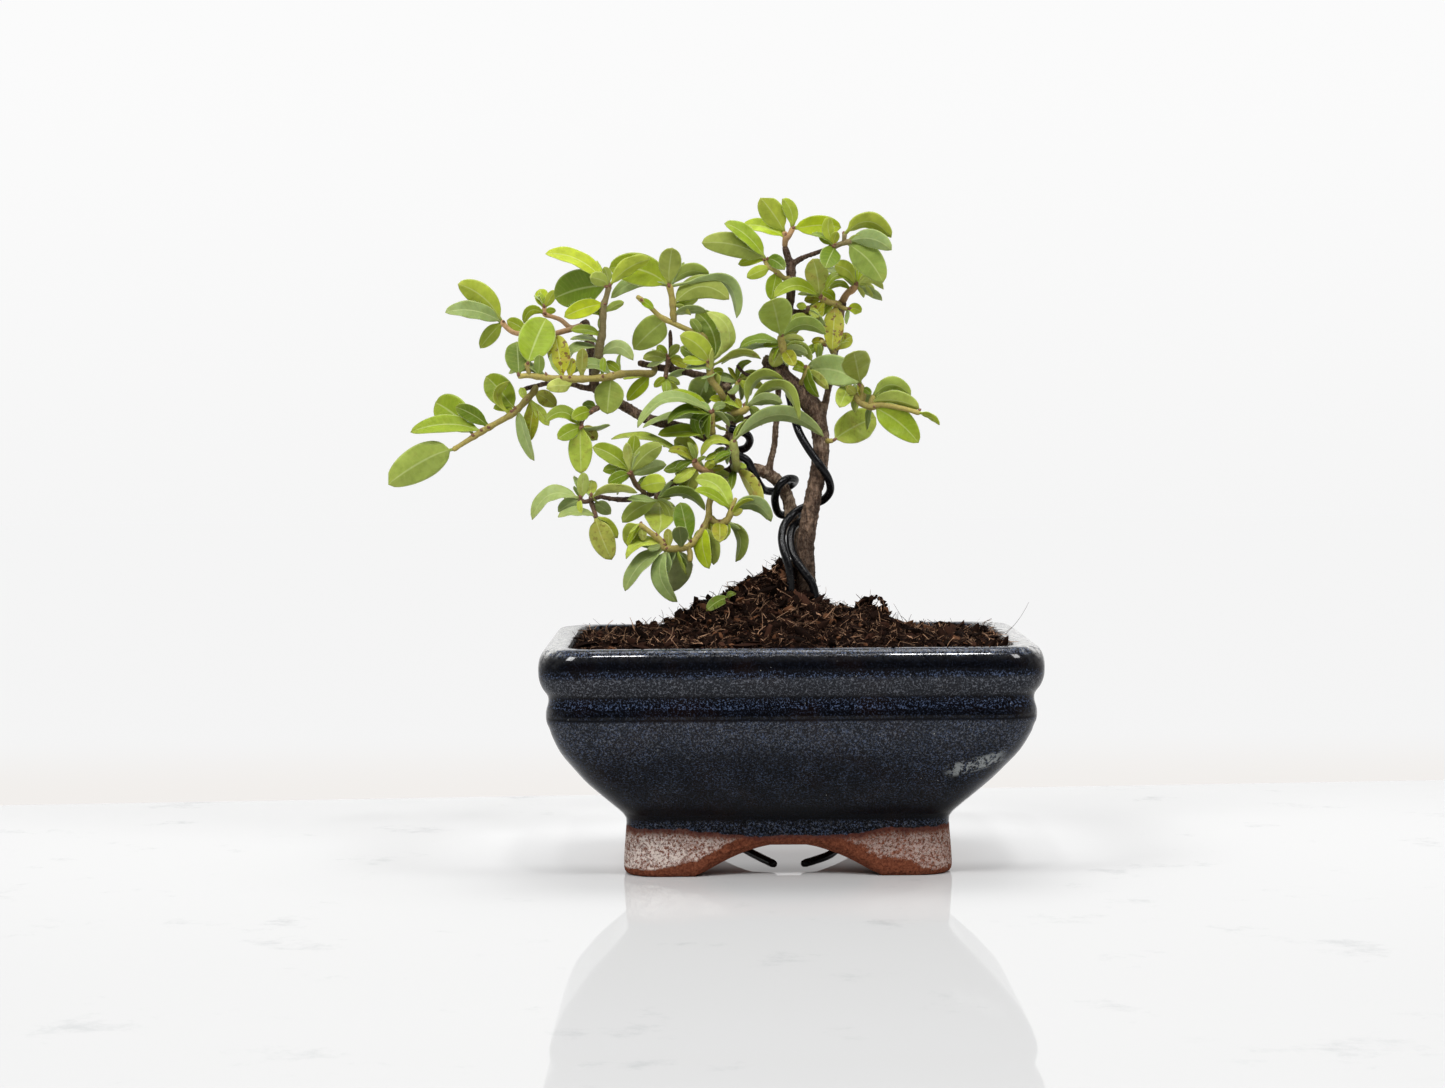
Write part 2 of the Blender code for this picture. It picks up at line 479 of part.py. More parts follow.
SPRAYS = {
    "spray_far_left": (
        [[(-53, 148.3, 0, 0.9), (-53.6, 146.6, -1.6, 0.85), (-55.5, 144.5, -2.4, 0.85),
          (-60, 140, -3.2, 0.85), (-66, 136.5, -4, 0.8), (-70, 134.2, -4.6, 0.8),
          (-79, 128.6, -5.4, 0.6)]],
        [(-79.3, 129.2, -99, 118.2, 11, 0), (-73.6, 135, -84.5, 143.5, 10.5, 0),
         (-70.5, 134.8, -92, 134.2, 5.5, 1), (-68.4, 136.6, -78, 142, 5, 0),
         (-60, 141.2, -68.4, 151.3, 8.5, 0), (-61.4, 139.8, -61, 149.8, 2.4, -4),
         (-60, 140.6, -66.2, 141.4, 3, 0.6), (-56.4, 144.2, -57.8, 147.8, 2.5, 0),
         (-58.2, 140.6, -54, 125.1, 4, -0.6), (-53.6, 142.6, -55.5, 131, 5, 0),
         (-53, 146, -46.8, 141.8, 5, 0)]),
    "spray_left_front": (
        [[(-16, 153.8, 11.2, 0.9), (-17, 151.9, 8, 0.9), (-21, 152, 5, 0.95),
          (-26, 151.8, 1.6, 0.95), (-30, 151, -1.6, 0.95), (-35, 150.5, -3.6, 0.9),
          (-40, 150.3, -4.6, 0.9), (-45, 150.5, -5, 0.85), (-50, 150.8, -5, 0.8),
          (-55, 151.5, -5, 0.75), (-58.6, 151.2, -5, 0.6)],
         [(-55, 151.5, -5, 0.7), (-55.8, 155.5, -5.6, 0.55)]],
        [(-55.7, 154.8, -49.6, 169.2, 11, 0), (-58.2, 151.6, -58.8, 162, 8, 0),
         (-50.5, 151.4, -61.5, 152.3, 3, 1.5), (-52, 151.6, -51.8, 158, 3.4, 0),
         (-44.6, 151.5, -47, 164, 7, 0), (-42.4, 151.2, -41.6, 156.8, 3.2, 0),
         (-38.8, 151.4, -38.5, 160, 3.7, 0), (-29.8, 149.8, -31, 139.4, 9.2, 0),
         (-29.5, 151.5, -42, 151.8, 3.5, 2.5), (-27, 152.6, -31.5, 155.4, 3, 0),
         (-41, 147.4, -49.8, 147.3, 4.5, 0.6), (-17.6, 150.6, -24.8, 143.5, 4.5, 0),
         (-32.4, 151.8, -32, 157, 2.2, 0)]),
    "spray_upper_left": (
        [[(-37.8, 167, 5.4, 1.0), (-40.5, 166.2, 3.4, 0.85), (-43.5, 165.3, 2.4, 0.8),
          (-50, 164, 1, 0.75), (-59.5, 164.8, 0, 0.75), (-63.6, 168.4, -0.5, 0.65)],
         [(-40.5, 166.2, 3.4, 0.8), (-42.5, 166.4, 5, 0.7), (-45.1, 168.6, 6, 0.65),
          (-48, 169.7, 6, 0.6), (-50, 170.4, 6, 0.6), (-50.1, 172.6, 6, 0.55)]],
        [(-63.7, 169.4, -76.9, 179.9, 7.5, 1), (-64, 168.4, -80.8, 171.2, 5.5, 1),
         (-63.6, 167.4, -70.2, 160, 5, 0), (-56, 165.3, -61.8, 168.6, 4, 0),
         (-50.2, 170.6, -56.5, 167.6, 3.2, 2.4), (-50, 171.2, -46.6, 171.4, 2.2, 0),
         (-50.2, 172.6, -51.5, 178, 4.5, 0), (-49.8, 172.4, -46.8, 177.8, 3, 0)]),
    "spray_left_tall": (
        [[(-35.2, 151.6, 2.6, 1.2), (-34, 153.8, 0, 1.15), (-33.3, 160, -1.6, 1.05),
          (-32.2, 165, -2.6, 0.95), (-32, 172, -3.4, 0.85), (-31, 175.5, -3.6, 0.8),
          (-30, 179.4, -4, 0.65)]],
        [(-31.2, 179, -47, 175.3, 12, 0), (-31.4, 180.4, -49.7, 189.4, 5, 1.5),
         (-32.4, 173.4, -44, 169.5, 5.5, 0), (-32.6, 169.3, -41, 170.5, 3.5, 2),
         (-33, 163.9, -42, 165.4, 3, 0.4), (-33.4, 161.6, -42.2, 162.6, 1.8, 0.4),
         (-33.8, 159.6, -44.8, 152, 3, 3.4), (-30.2, 179.8, -36.2, 181.6, 4.5, 0),
         (-30, 180.2, -31.5, 184.9, 3, 0), (-29.6, 179.8, -17.4, 187.3, 4.8, 0.6),
         (-31.2, 171.2, -25.5, 174, 2.6, 0), (-32.8, 157.4, -22.8, 155.9, 4.5, 3)]),
    "spray_left_under": (
        [[(-30.6, 144.2, 1.8, 0.9), (-33, 142, -0.8, 0.7), (-37.1, 139.5, -2.6, 0.65),
          (-38.9, 137.2, -3.6, 0.6), (-39.3, 135.2, -4.2, 0.6)]],
        [(-39.6, 135.4, -50.5, 137.2, 4, 3.2), (-39.8, 135.2, -46.4, 131.8, 5, 0),
         (-39.8, 135.8, -44.8, 134, 2.4, 0), (-39.5, 134.6, -39.3, 121, 7.5, 0),
         (-39, 135, -34.2, 131.4, 4.5, 0), (-36.2, 140.4, -42, 138, 4.5, 0),
         (-34.3, 141.6, -38.7, 141.8, 3.5, 0)]),
    "spray_middle": (
        [[(7.2, 141.6, 4.2, 1.1), (5.4, 143.6, 0.6, 0.95), (4.4, 145.4, -2.4, 0.95),
          (2.9, 147.6, -2.8, 0.95), (1.2, 149.8, -2.8, 0.9), (0.9, 152.5, -2.6, 0.9),
          (0.6, 156, -2, 0.8), (0, 160, -1, 0.75), (-0.8, 163, 0, 0.75),
          (-5, 164.9, 0.5, 0.75), (-10, 167.2, 1, 0.75), (-14.3, 169.4, 1, 0.7),
          (-17.8, 172.7, 0.5, 0.65), (-21.6, 175.8, 0, 0.6)],
         [(-10, 167.2, 1, 0.75), (-10.3, 170, 1, 0.85), (-10.5, 174, 1, 0.9),
          (-11.5, 179.4, 0.5, 0.8)]],
        [(2.6, 154.4, -3.5, 170.8, 8.5, 2.4), (5.4, 156, 0, 170.5, 5, 4),
         (1.6, 154.6, -8.3, 163.5, 6.4, 1), (0.2, 155.4, -8.2, 160, 4.5, -0.6),
         (3.6, 152.7, -6.8, 153.2, 2.4, 0.6), (1.4, 151.4, 5, 152.4, 3, 0),
         (0.4, 150.2, -3.3, 141.4, 9, 0), (4.4, 154.6, 16.7, 156.2, 2.4, 1.6),
         (-1.6, 163.8, -5, 168.6, 3, 0), (-12, 168.6, -22.5, 159.5, 9, 0),
         (-11.8, 179.6, -30, 184.5, 10, 1), (-11.9, 180.4, -10.5, 190.7, 7, 0),
         (-11.4, 178.8, -29.5, 175.2, 5, 2.5), (-10.8, 179.6, 1, 181.8, 4, 2.2),
         (-10, 173, 7, 174.5, 7.5, 4), (-2.4, 180.4, 9.5, 168.8, 4, 5),
         (-10.2, 170, 0, 171, 2.6, 0.4), (-20.6, 174.8, -16.4, 171.8, 2.6, 0)]),
    "spray_upper_branch": (
        [[(-12.4, 153.4, 10.8, 0.8), (-12, 155.2, 7.6, 0.7), (-12, 157.2, 6.6, 0.6)],
         [(-12, 155.2, 7.6, 0.65), (-12.6, 152.6, 7.8, 0.65), (-12.8, 150, 7, 0.6)]],
        [(-12.4, 157, -15.4, 160.4, 3, 0), (-11.8, 157.4, -8.4, 160.6, 2.8, 0),
         (-12.5, 155.8, -19.8, 156.4, 3.5, 0.8), (-11.6, 156.4, -5.6, 153.6, 3, 0),
         (-12.9, 150.6, -16.4, 147.6, 2.6, 0), (-12.6, 150.4, -8.4, 148.4, 2.4, 0),
         (-12.8, 149.8, -12.4, 145, 3, 0)]),
    "spray_left_center": (
        [[(1, 131.6, 4, 1.2), (1.2, 133.6, 0.4, 1.05), (1.3, 136, -1, 0.9),
          (1.4, 139.8, -1.6, 0.75)]],
        [(0.8, 139.8, -1.4, 131.6, 3, -3.6), (1, 140.3, -4.4, 141.2, 3, 0.6),
         (1.8, 140.4, 5.8, 141.6, 2.6, 0.6), (1.8, 136.4, 6.6, 138.4, 2.6, 0.8),
         (0.4, 140.4, -14, 144.5, 4, 1), (0.2, 139.9, -21.7, 135.2, 3.4, 5.5),
         (0.4, 138.8, -12.2, 136.4, 3.2, 2.2), (0.6, 136.4, -20.2, 135.5, 2.2, 1.4),
         (0.6, 133.8, -15.3, 133.4, 4, -0.6)]),
    "spray_lower_center": (
        [[(2.2, 119.8, 4.2, 1.1), (1.4, 121.4, 0.8, 1.0), (-0.8, 121.6, -1, 0.95),
          (-2.9, 122.6, -1.8, 0.9), (-4.4, 124.8, -2.2, 0.7)]],
        [(-3.8, 124.2, -10.6, 131.2, 6.6, 0.8), (-4.6, 124.8, -12.2, 127.8, 2.8, 1.2),
         (-4, 122.8, -7.6, 113, 6, 0), (-1.2, 122.2, 2.4, 124.4, 2.8, 0),
         (0.6, 121.8, 5.2, 122.6, 2.2, 0), (-5.4, 124.6, -10, 122, 2.6, 0),
         (-9.5, 127.8, -30, 132.3, 2.2, 1), (-6.4, 125.2, -9.8, 119.8, 3, 0)]),
    "spray_left_node": (
        [[(-19.5, 114.2, -3.2, 0.8), (-20.5, 116, -6.6, 0.75), (-22.4, 117.7, -7.6, 0.7),
          (-24, 121.2, -8, 0.65)]],
        [(-24.4, 122.2, -35.7, 129.3, 5.6, 0.5), (-23.8, 122.4, -22.5, 133, 4.5, 0),
         (-23.4, 122, -14, 129.5, 6, 0.6), (-24.2, 122.6, -25.2, 130.5, 2.8, 0),
         (-24.8, 121.5, -32.5, 121.8, 3.8, 0.4), (-24.4, 120.8, -31, 118, 4, 0),
         (-20.8, 116.6, -13, 118, 6, 0), (-21.8, 118, -17.3, 119.5, 2.2, 0),
         (-23.2, 120.8, -12.8, 123.6, 4.2, 0)]),
    "spray_low_left": (
        [[(-33, 113.8, -5.2, 0.6), (-35, 113.4, -5.8, 0.65), (-36.4, 112.7, -6.4, 0.65),
          (-38.5, 112.3, -7, 0.6), (-40, 113.3, -7, 0.6)],
         [(-36.4, 112.7, -6.4, 0.6), (-35.4, 109.6, -7, 0.6), (-34.8, 107.2, -7.4, 0.55)],
         [(-36.4, 112.7, -6.4, 0.6), (-36.2, 113.8, -8.8, 0.55)]],
        [(-40.2, 113.2, -54.5, 106.8, 4.5, 4), (-39.8, 112.8, -46.5, 109.3, 4.5, 0),
         (-39.2, 113.4, -38.3, 121.4, 3.7, 0), (-35.4, 107.8, -46.6, 107.6, 2.6, 0.8),
         (-34.8, 106.8, -30, 94.2, 7.5, -0.6), (-34.2, 107.2, -28.2, 101, 4.4, 0),
         (-36.6, 114.2, -36, 119, 4, 0), (-35.8, 114, -22, 114.8, 2.8, 0.8),
         (-35.2, 111.8, -30.2, 108.4, 4.2, 0)]),
    "spray_low_middle": (
        [[(-15.8, 115.2, -2.4, 0.8), (-15.9, 113.8, -5.8, 0.65), (-15.9, 112.6, -6.8, 0.6)]],
        [(-15.3, 112.8, -1, 109.4, 3.6, 3), (-16.4, 112.2, -26.6, 105.8, 5.4, 0.6)]),
    "spray_hanging": (
        [[(3.4, 120.2, 4.2, 1.2), (3.2, 118.2, 0.6, 1.0), (1.6, 115, -1.4, 0.95),
          (0.3, 111, -2.6, 0.9), (0.2, 107.5, -3.6, 0.9), (-1.4, 104, -4.2, 0.85),
          (-4, 100.4, -4.4, 0.85), (-6.4, 98.1, -4.2, 0.85), (-10, 97.5, -4.2, 0.85),
          (-13.6, 97.8, -4.6, 0.85), (-14.6, 99.8, -5, 0.8), (-17.9, 102.6, -5.6, 0.75),
          (-21.4, 105.2, -6.2, 0.6)],
         [(0.2, 107.4, -3.6, 0.85), (3, 105.4, -5, 0.9), (5.6, 106, -6, 0.9),
          (6.8, 108, -6.6, 0.8), (7.5, 110.2, -7, 0.65), (8.7, 113.2, -7.4, 0.5)],
         [(-6.4, 98.1, -4.2, 0.7), (-5.7, 96.2, -4.6, 0.8), (-5.7, 93.4, -4.8, 0.75)]],
        [(6.4, 109.4, -4, 119, 5.8, 2.6), (7.8, 109.6, 19.7, 105.8, 4.8, 3),
         (7.2, 107.6, 10.8, 109.4, 2.2, 0), (6.2, 105.6, 8.5, 93.3, 3.8, 2.8),
         (3.6, 106, 3.6, 99.3, 5, 0), (0.8, 106.4, 1.2, 99.6, 3, 0),
         (5.8, 110.4, -4, 115.6, 3, 0.6), (-1.6, 104.8, 0.1, 91.2, 5.4, -1),
         (-1, 103.4, 1.6, 92.4, 4.6, 0.8), (-14.4, 102.8, -15.2, 112.4, 10, 0),
         (-20.8, 104.6, -20, 100, 2.6, 0), (-21.8, 105.4, -25, 98.5, 6.5, 0),
         (-14.6, 98.4, -25.8, 94.6, 3, 2.4), (-13.8, 96.9, -26.3, 84.6, 4.8, 1.5),
         (-13.4, 96.8, -9.7, 81, 5.2, -3.4), (-9.8, 96.8, -11.2, 84.4, 11, 0),
         (-6.2, 100.4, -8.6, 111.9, 6.6, 0), (-8.2, 98.2, -9.2, 104.6, 5, 0),
         (-12.2, 98.2, -12.6, 103.8, 3, 0)]),
    "spray_front_shoot": (
        [[(8.6, 122.6, 5, 1.3), (8.9, 122.6, 1.4, 1.15), (8.7, 124.2, -1.4, 1.1),
          (8.2, 128, -2, 1.1), (7.9, 131.2, -1.8, 0.9)]],
        [(8.6, 131.2, 36, 132, 5, 6), (8, 131.4, 12, 136.6, 2.8, 0),
         (7.6, 129, -2, 126, 2.6, 3.2), (7.4, 127.2, -0.6, 125.2, 3, -0.6),
         (9.2, 121.6, 16.6, 109.4, 4.8, 0.8), (8, 121.8, 7.2, 115.6, 2.6, 0),
         (9.4, 123.6, 12, 122.4, 1.8, 0)]),
    "spray_arched": (
        [[(7.4, 139.4, 4.8, 1.1), (8.8, 139.8, 1.2, 1.0), (11.4, 140.2, -0.2, 0.9),
          (12.6, 141.6, -0.6, 0.8)]],
        [(12.2, 142, 23.8, 149.6, 3.6, 4.4), (13, 142, 28.4, 137, 3.4, 7.5),
         (13.4, 141.8, 23.4, 142.4, 3.8, 1.2), (11, 139.4, 8.2, 136.6, 3.8, 0),
         (8.6, 140.6, 6.4, 145, 1.8, -1), (10.4, 140.8, 9, 144, 2, 0)]),
    "spray_small_middle": (
        [[(7, 145.2, 3.4, 0.9), (9, 146.8, 1.2, 0.65), (9.2, 149.4, 0.6, 0.6)]],
        [(8.9, 149, 6.2, 145.8, 2, 1.4), (9.2, 149.8, 13.8, 155.3, 2.2, -1.6),
         (9.6, 149.4, 13.2, 149.4, 1.8, 0.8), (8.8, 149.9, 6.6, 153.6, 1.4, 0)]),
    "spray_leader_low": (
        [[(23.5, 157.6, 1.6, 0.9), (23.8, 158.2, -1.8, 0.95), (23.3, 160.5, -2.6, 1.0),
          (22.8, 163.4, -2.6, 0.9)]],
        [(22.6, 164, 20.2, 174.4, 10.5, 0), (23.6, 163.4, 37, 163.6, 4.4, 2.6),
         (23.6, 164, 31, 169.6, 4.6, 0), (23.6, 162.4, 30.2, 161.8, 2.6, 0),
         (22.4, 160.3, 10, 159.8, 3, 1.4), (22.8, 159.4, 4.5, 154.6, 2.2, 1.4),
         (23.2, 158.6, 20.2, 153.6, 5, 0), (24, 158.8, 27, 153.8, 4.4, 0),
         (24, 160, 32.6, 155.4, 3.2, 1.6)]),
    "spray_apex": (
        [[(24.3, 190.6, 3, 0.8), (24.6, 193, 2.4, 0.8), (25.8, 194.4, 1.8, 0.75),
          (27, 196.8, 1.2, 0.6)],
         [(24.6, 193, 2.4, 0.7), (24.2, 195.4, 2.4, 0.6)]],
        [(24.1, 195.6, 16.8, 205.8, 7.5, 0), (26.9, 197, 23.5, 205.4, 4.4, 1),
         (27.4, 195.8, 41.7, 196.4, 6.2, 0.4), (23.8, 193.6, 11.2, 197.3, 4.5, 0.8)]),
    "spray_upper_side": (
        [[(26, 180.8, 3, 0.9), (24, 181, 0, 0.75), (21.5, 183.2, -1.4, 0.7),
          (19, 185, -2, 0.65), (18.2, 187, -2.4, 0.6)]],
        [(18, 187.3, -1.3, 192, 7.5, 0.8), (17.8, 187.8, 5.7, 198, 5, 0.8),
         (19.6, 184, 12.5, 181.2, 4, 0), (18.8, 187.2, 24.2, 183.6, 4.4, 0.4),
         (21.8, 182.6, 20, 174.2, 5.2, 0)]),
    "spray_upper_right": (
        [[(36.6, 189.7, 0.6, 0.7), (38.4, 190.3, -0.2, 0.7), (40.5, 191, -1, 0.7),
          (42.8, 191.8, -1.6, 0.7), (45, 192.3, -2, 0.6)],
         [(42.6, 191.7, -1.6, 0.6), (42.8, 194.6, -1.8, 0.55)]],
        [(43, 194.9, 57.2, 193.2, 4.8, 3.6), (44.6, 192.4, 57.4, 189.4, 5.6, 1.4),
         (43.4, 191.2, 54.6, 179.4, 9, 1), (39.8, 190.2, 36.8, 184, 6.5, 0),
         (39, 191.2, 40.6, 195.2, 2.8, 0), (39.4, 191.4, 34.8, 193.6, 2.8, 0)]),
    "spray_right_middle": (
        [[(41.9, 173.4, 9.4, 1.1), (43.4, 176, 7.2, 0.95), (45.2, 177.4, 6, 0.9),
          (46.7, 178.9, 5.2, 0.75)]],
        [(45.8, 181.2, 39.4, 184.8, 5.2, 0.4), (46.8, 180, 47.4, 187.1, 4.8, 0),
         (47.2, 179.6, 54.2, 182.9, 3.2, 0), (47.2, 179.3, 54.7, 177.3, 2.4, 1.6),
         (47.1, 178.8, 52, 177.2, 2.8, 0), (46.6, 178, 48.7, 174.8, 1.4, 0.3),
         (41.6, 182.4, 35.2, 183, 2, 0.4), (45, 180.4, 37, 177, 2.6, 2.6),
         (44.2, 177.6, 38, 177.4, 2.2, 1.4)]),
    "spray_right_node": (
        [[(41.4, 172.4, 9.4, 1.1), (39.6, 173, 6, 0.85), (37.5, 173.6, 4.6, 0.8),
          (35, 175, 3.6, 0.7)],
         [(40, 172.8, 6.6, 0.6), (42, 171.8, 6, 0.55), (43.8, 171.2, 6.2, 0.5)]],
        [(34.8, 175.9, 32.8, 187, 7.4, 0.4), (34.4, 175.4, 21, 175, 4.4, 2.8),
         (40, 174, 34.6, 177, 3.6, 0.4), (39.7, 172, 38.8, 158.5, 6.5, 0),
         (36, 172.8, 30.8, 166.2, 5, 0), (35.4, 173.6, 30.2, 174, 3, 0.4),
         (43.8, 171.2, 47.8, 170.3, 3.6, 0.4)]),
    "spray_twig_end": (
        [[(29.4, 170.6, 2.1, 0.65), (31.2, 170.8, 1.2, 0.6), (31.3, 172.4, 0.4, 0.5)]],
        [(31, 171.9, 27.8, 172.4, 2.4, 0),
         (31.6, 171.2, 34.8, 168.8, 2.6, 0)]),
    "spray_right_inner": (
        [[(39.6, 157.6, 8, 0.85), (38.6, 158.8, 4.8, 0.7), (37.4, 160.4, 3.6, 0.6),
          (35, 161.4, 3, 0.55)]],
        [(40.4, 159.4, 44.9, 162.9, 4.8, 0), (37, 160.8, 32.4, 161.4, 3, 0),
         (34.4, 161.4, 34.8, 157.2, 3.2, 0)]),
    "spray_right_low": (
        [[(38, 149, 5, 0.95), (40, 148.6, 1.4, 0.85), (43.5, 147.4, -1, 0.85),
          (46, 144.6, -2.4, 0.9), (47.6, 142.4, -3.2, 0.95), (50.4, 141.1, -3.6, 0.9),
          (54, 141.6, -3.8, 0.75), (60, 140.6, -4.4, 0.7), (65.8, 139, -5.2, 0.6)],
         [(47.6, 142.4, -3.2, 0.8), (48.4, 145.2, -3.8, 0.7), (47.4, 148.2, -4.2, 0.65)],
         [(50.4, 141.2, -3.6, 0.7), (51.4, 144.6, -3.4, 0.6)]],
        [(47.2, 148.4, 30.9, 152.2, 9.4, 1.4), (47.2, 149, 45.2, 158.4, 9, 0),
         (51.5, 144.9, 63, 144.2, 4.8, 2.8), (51.4, 142.6, 65.6, 140.4, 5.4, 0.8),
         (51.2, 140.9, 65.4, 129.8, 8.6, 0.6), (65.8, 138.9, 71.9, 135.3, 1.8, 0.5),
         (44, 147.4, 41, 141, 5.6, 0), (48.2, 146.8, 50.8, 145, 2.2, 0),
         (47, 143.4, 45.6, 148, 3.4, 0), (46.4, 144.4, 43.2, 147.2, 3, 0),
         (48.4, 143.4, 47.6, 147, 2.6, 0), (46.6, 143.6, 43.4, 143.6, 2.2, 0)]),
    "spray_knot": (
        [[(36.4, 130.7, -0.2, 0.9), (38, 130.6, -1.8, 0.6), (39, 130.8, -2.2, 0.5)]],
        [(38.8, 130.7, 52.3, 137.6, 10.2, 0)]),
    "spray_limb": (
        [[(28.2, 147.2, 0.6, 0.85), (29.8, 149.8, -1.8, 0.7), (30.8, 152, -2.4, 0.6),
          (31.2, 154, -2.6, 0.55)]],
        [(31.1, 153.8, 34.6, 144.2, 3.2, -1.4), (30.9, 152.4, 37.8, 146.7, 3, 0),
         (30.4, 151.4, 26.4, 152.9, 1.8, 0.6)]),
}

# How far each spray swings back (or forward, if negative) for every millimetre that it
# reaches out from its foot in the front view.
SWING = {
    "spray_far_left": 0.15, "spray_left_front": -0.15, "spray_upper_left": 0.35,
    "spray_left_tall": -0.2, "spray_middle": -0.12, "spray_left_node": -0.8,
    "spray_leader_low": -0.6, "spray_apex": 0.6, "spray_upper_side": 0.5,
    "spray_arched": -0.5, "spray_right_middle": -0.5, "spray_right_node": -0.5,
    "spray_lower_center": -0.5, "spray_left_center": -0.5, "spray_knot": 0.0,
    "spray_limb": 0.0}
USUAL_SWING = -0.3

# Leaf outlines, as (share of the length, share of the half width) from stalk to tip.
OUTLINES = {
    "large": [(0.0, 0.14), (0.28, 0.82), (0.66, 0.92)],
    "small": [(0.0, 0.2), (0.48, 1.0)],
}
LARGE_LEAF = 11                # length from which a leaf has its fold and fuller outline
DEPTH_TRIES = [0, -2, 2, -4, 4, -6, 6, -8, 8, -10, 10, -13, 13]
SIGHT = Vector((0, 1, 0))


def spray_route(name, stem, step=5.0):
    """A stem's route, swung back or forward beyond its first few millimetres."""
    foot_x, foot_z = SPRAYS[name][0][0][0][:2]
    swing = SWING.get(name, USUAL_SWING)
    route = []
    for x, z, y, radius in stem:
        reach = max(0.0, math.hypot(x - foot_x, z - foot_z) - 5.0)
        route.append((at_depth(x, z, y + swing * reach), radius))
    return smooth_route(route, step)


def seat_stem(route, wood):
    """Trim a stem's first points to the surface that carries it, with a rounded heel."""
    seated = []
    for place, radius in route:
        room = height_above(wood, place) - GAP
        if seated or room > 0.28:
            seated.append((place, min(radius, max(room, 0.28))))
    return seated


def thin_out(route):
    """Keep a seated stem's first points close together and the rest 5 mm apart."""
    kept = [route[0]]
    for place, radius in route[1:-1]:
        gap = (place - kept[-1][0]).length
        if gap > (1.9 if len(kept) < 2 else 4.9):
            kept.append((place, radius))
    kept.append(route[-1])
    return kept


def seat_stems(wood):
    """The routes of every spray's stems: the first of each starts on the wood."""
    stems_of = {}
    for name, (stems, _) in SPRAYS.items():
        first = thin_out(seat_stem(spray_route(name, stems[0], 0.5), wood))
        stems_of[name] = [first] + [spray_route(name, stem) for stem in stems[1:]]
    return stems_of


def nearest_on_stems(stems, x, z):
    """The point of the stems' middle lines closest to (x, z) in the front view."""
    best = None
    for route in stems:
        for i, (start, end) in enumerate(zip(route, route[1:])):
            reach = 0.85 if i == len(route) - 2 else 1.0
            for k in range(5):
                place = start[0].lerp(end[0], reach * k / 4)
                seen = at_depth(x, z, place.y)
                apart = math.hypot(seen.x - place.x, seen.z - place.z)
                if best is None or apart < best[0]:
                    best = (apart, place)
    return best[1]


def plan_leaf(leaf, stems, rng):
    """Work out a leaf's place in space from how it looks from the front.

    A leaf that looks narrower than its length allows is turned on edge, and one that
    looks shorter than its width allows points towards the eye or away from it.
    """
    base_x, base_z, tip_x, tip_z, width, bow = leaf
    root = nearest_on_stems(stems, base_x, base_z)
    root += Vector([rng.uniform(-0.15, 0.15) for _ in range(3)])
    chord = math.hypot(tip_x - base_x, tip_z - base_z)
    full = max(width, min(0.44 * chord, 6.2))
    length = max(chord, 1.7 * full)
    lean = math.sqrt(length ** 2 - chord ** 2) * rng.choice((-1, 1))
    lean += rng.uniform(-0.3, 0.3) * chord
    return {"root": root, "base": (base_x, base_z), "tip": (tip_x, tip_z), "bow": bow,
            "width": full, "turn": math.acos(min(1.0, width / full)), "lean": lean,
            "chord": chord, "droop": 0.05 * length}


def leaf_stations(plan, shift, outline):
    """Midrib points of a leaf with their side and upward directions and half widths."""
    base_x, base_z = plan["base"]
    base = at_depth(base_x, base_z, plan["root"].y - 0.3)
    tip = at_depth(*plan["tip"], base.y + plan["lean"] + shift)
    run = tip - base
    if abs(run.x) >= abs(run.z):
        off = Vector((-run.z, 0, run.x)).normalized() * math.copysign(1, run.x)
    else:
        off = Vector((run.z, 0, -run.x)).normalized() * math.copysign(1, run.z)
    middle = (base + tip) / 2 + off * 2 * plan["bow"] + Vector((0, 0, 2 * plan["droop"]))
    stations = []
    for share, half in outline + [(1.0, 0.0)]:
        place = (base * (1 - share) ** 2 + middle * 2 * share * (1 - share)
                 + tip * share ** 2)
        ahead = ((middle - base) * (1 - share) + (tip - middle) * share).normalized()
        flat = ahead.cross(SIGHT).normalized()
        side = flat * math.cos(plan["turn"]) + ahead.cross(flat) * math.sin(plan["turn"])
        upper = side.cross(ahead).normalized()
        if upper.z < 0:
            side, upper = -side, -upper
        if stations and side.dot(stations[-1][1]) < 0:
            side, upper = -side, -upper
        stations.append((place, side, upper, half * plan["width"] / 2))
    _, side, upper, half = stations[0]
    stations[0] = (plan["root"], side, upper, half)
    return stations


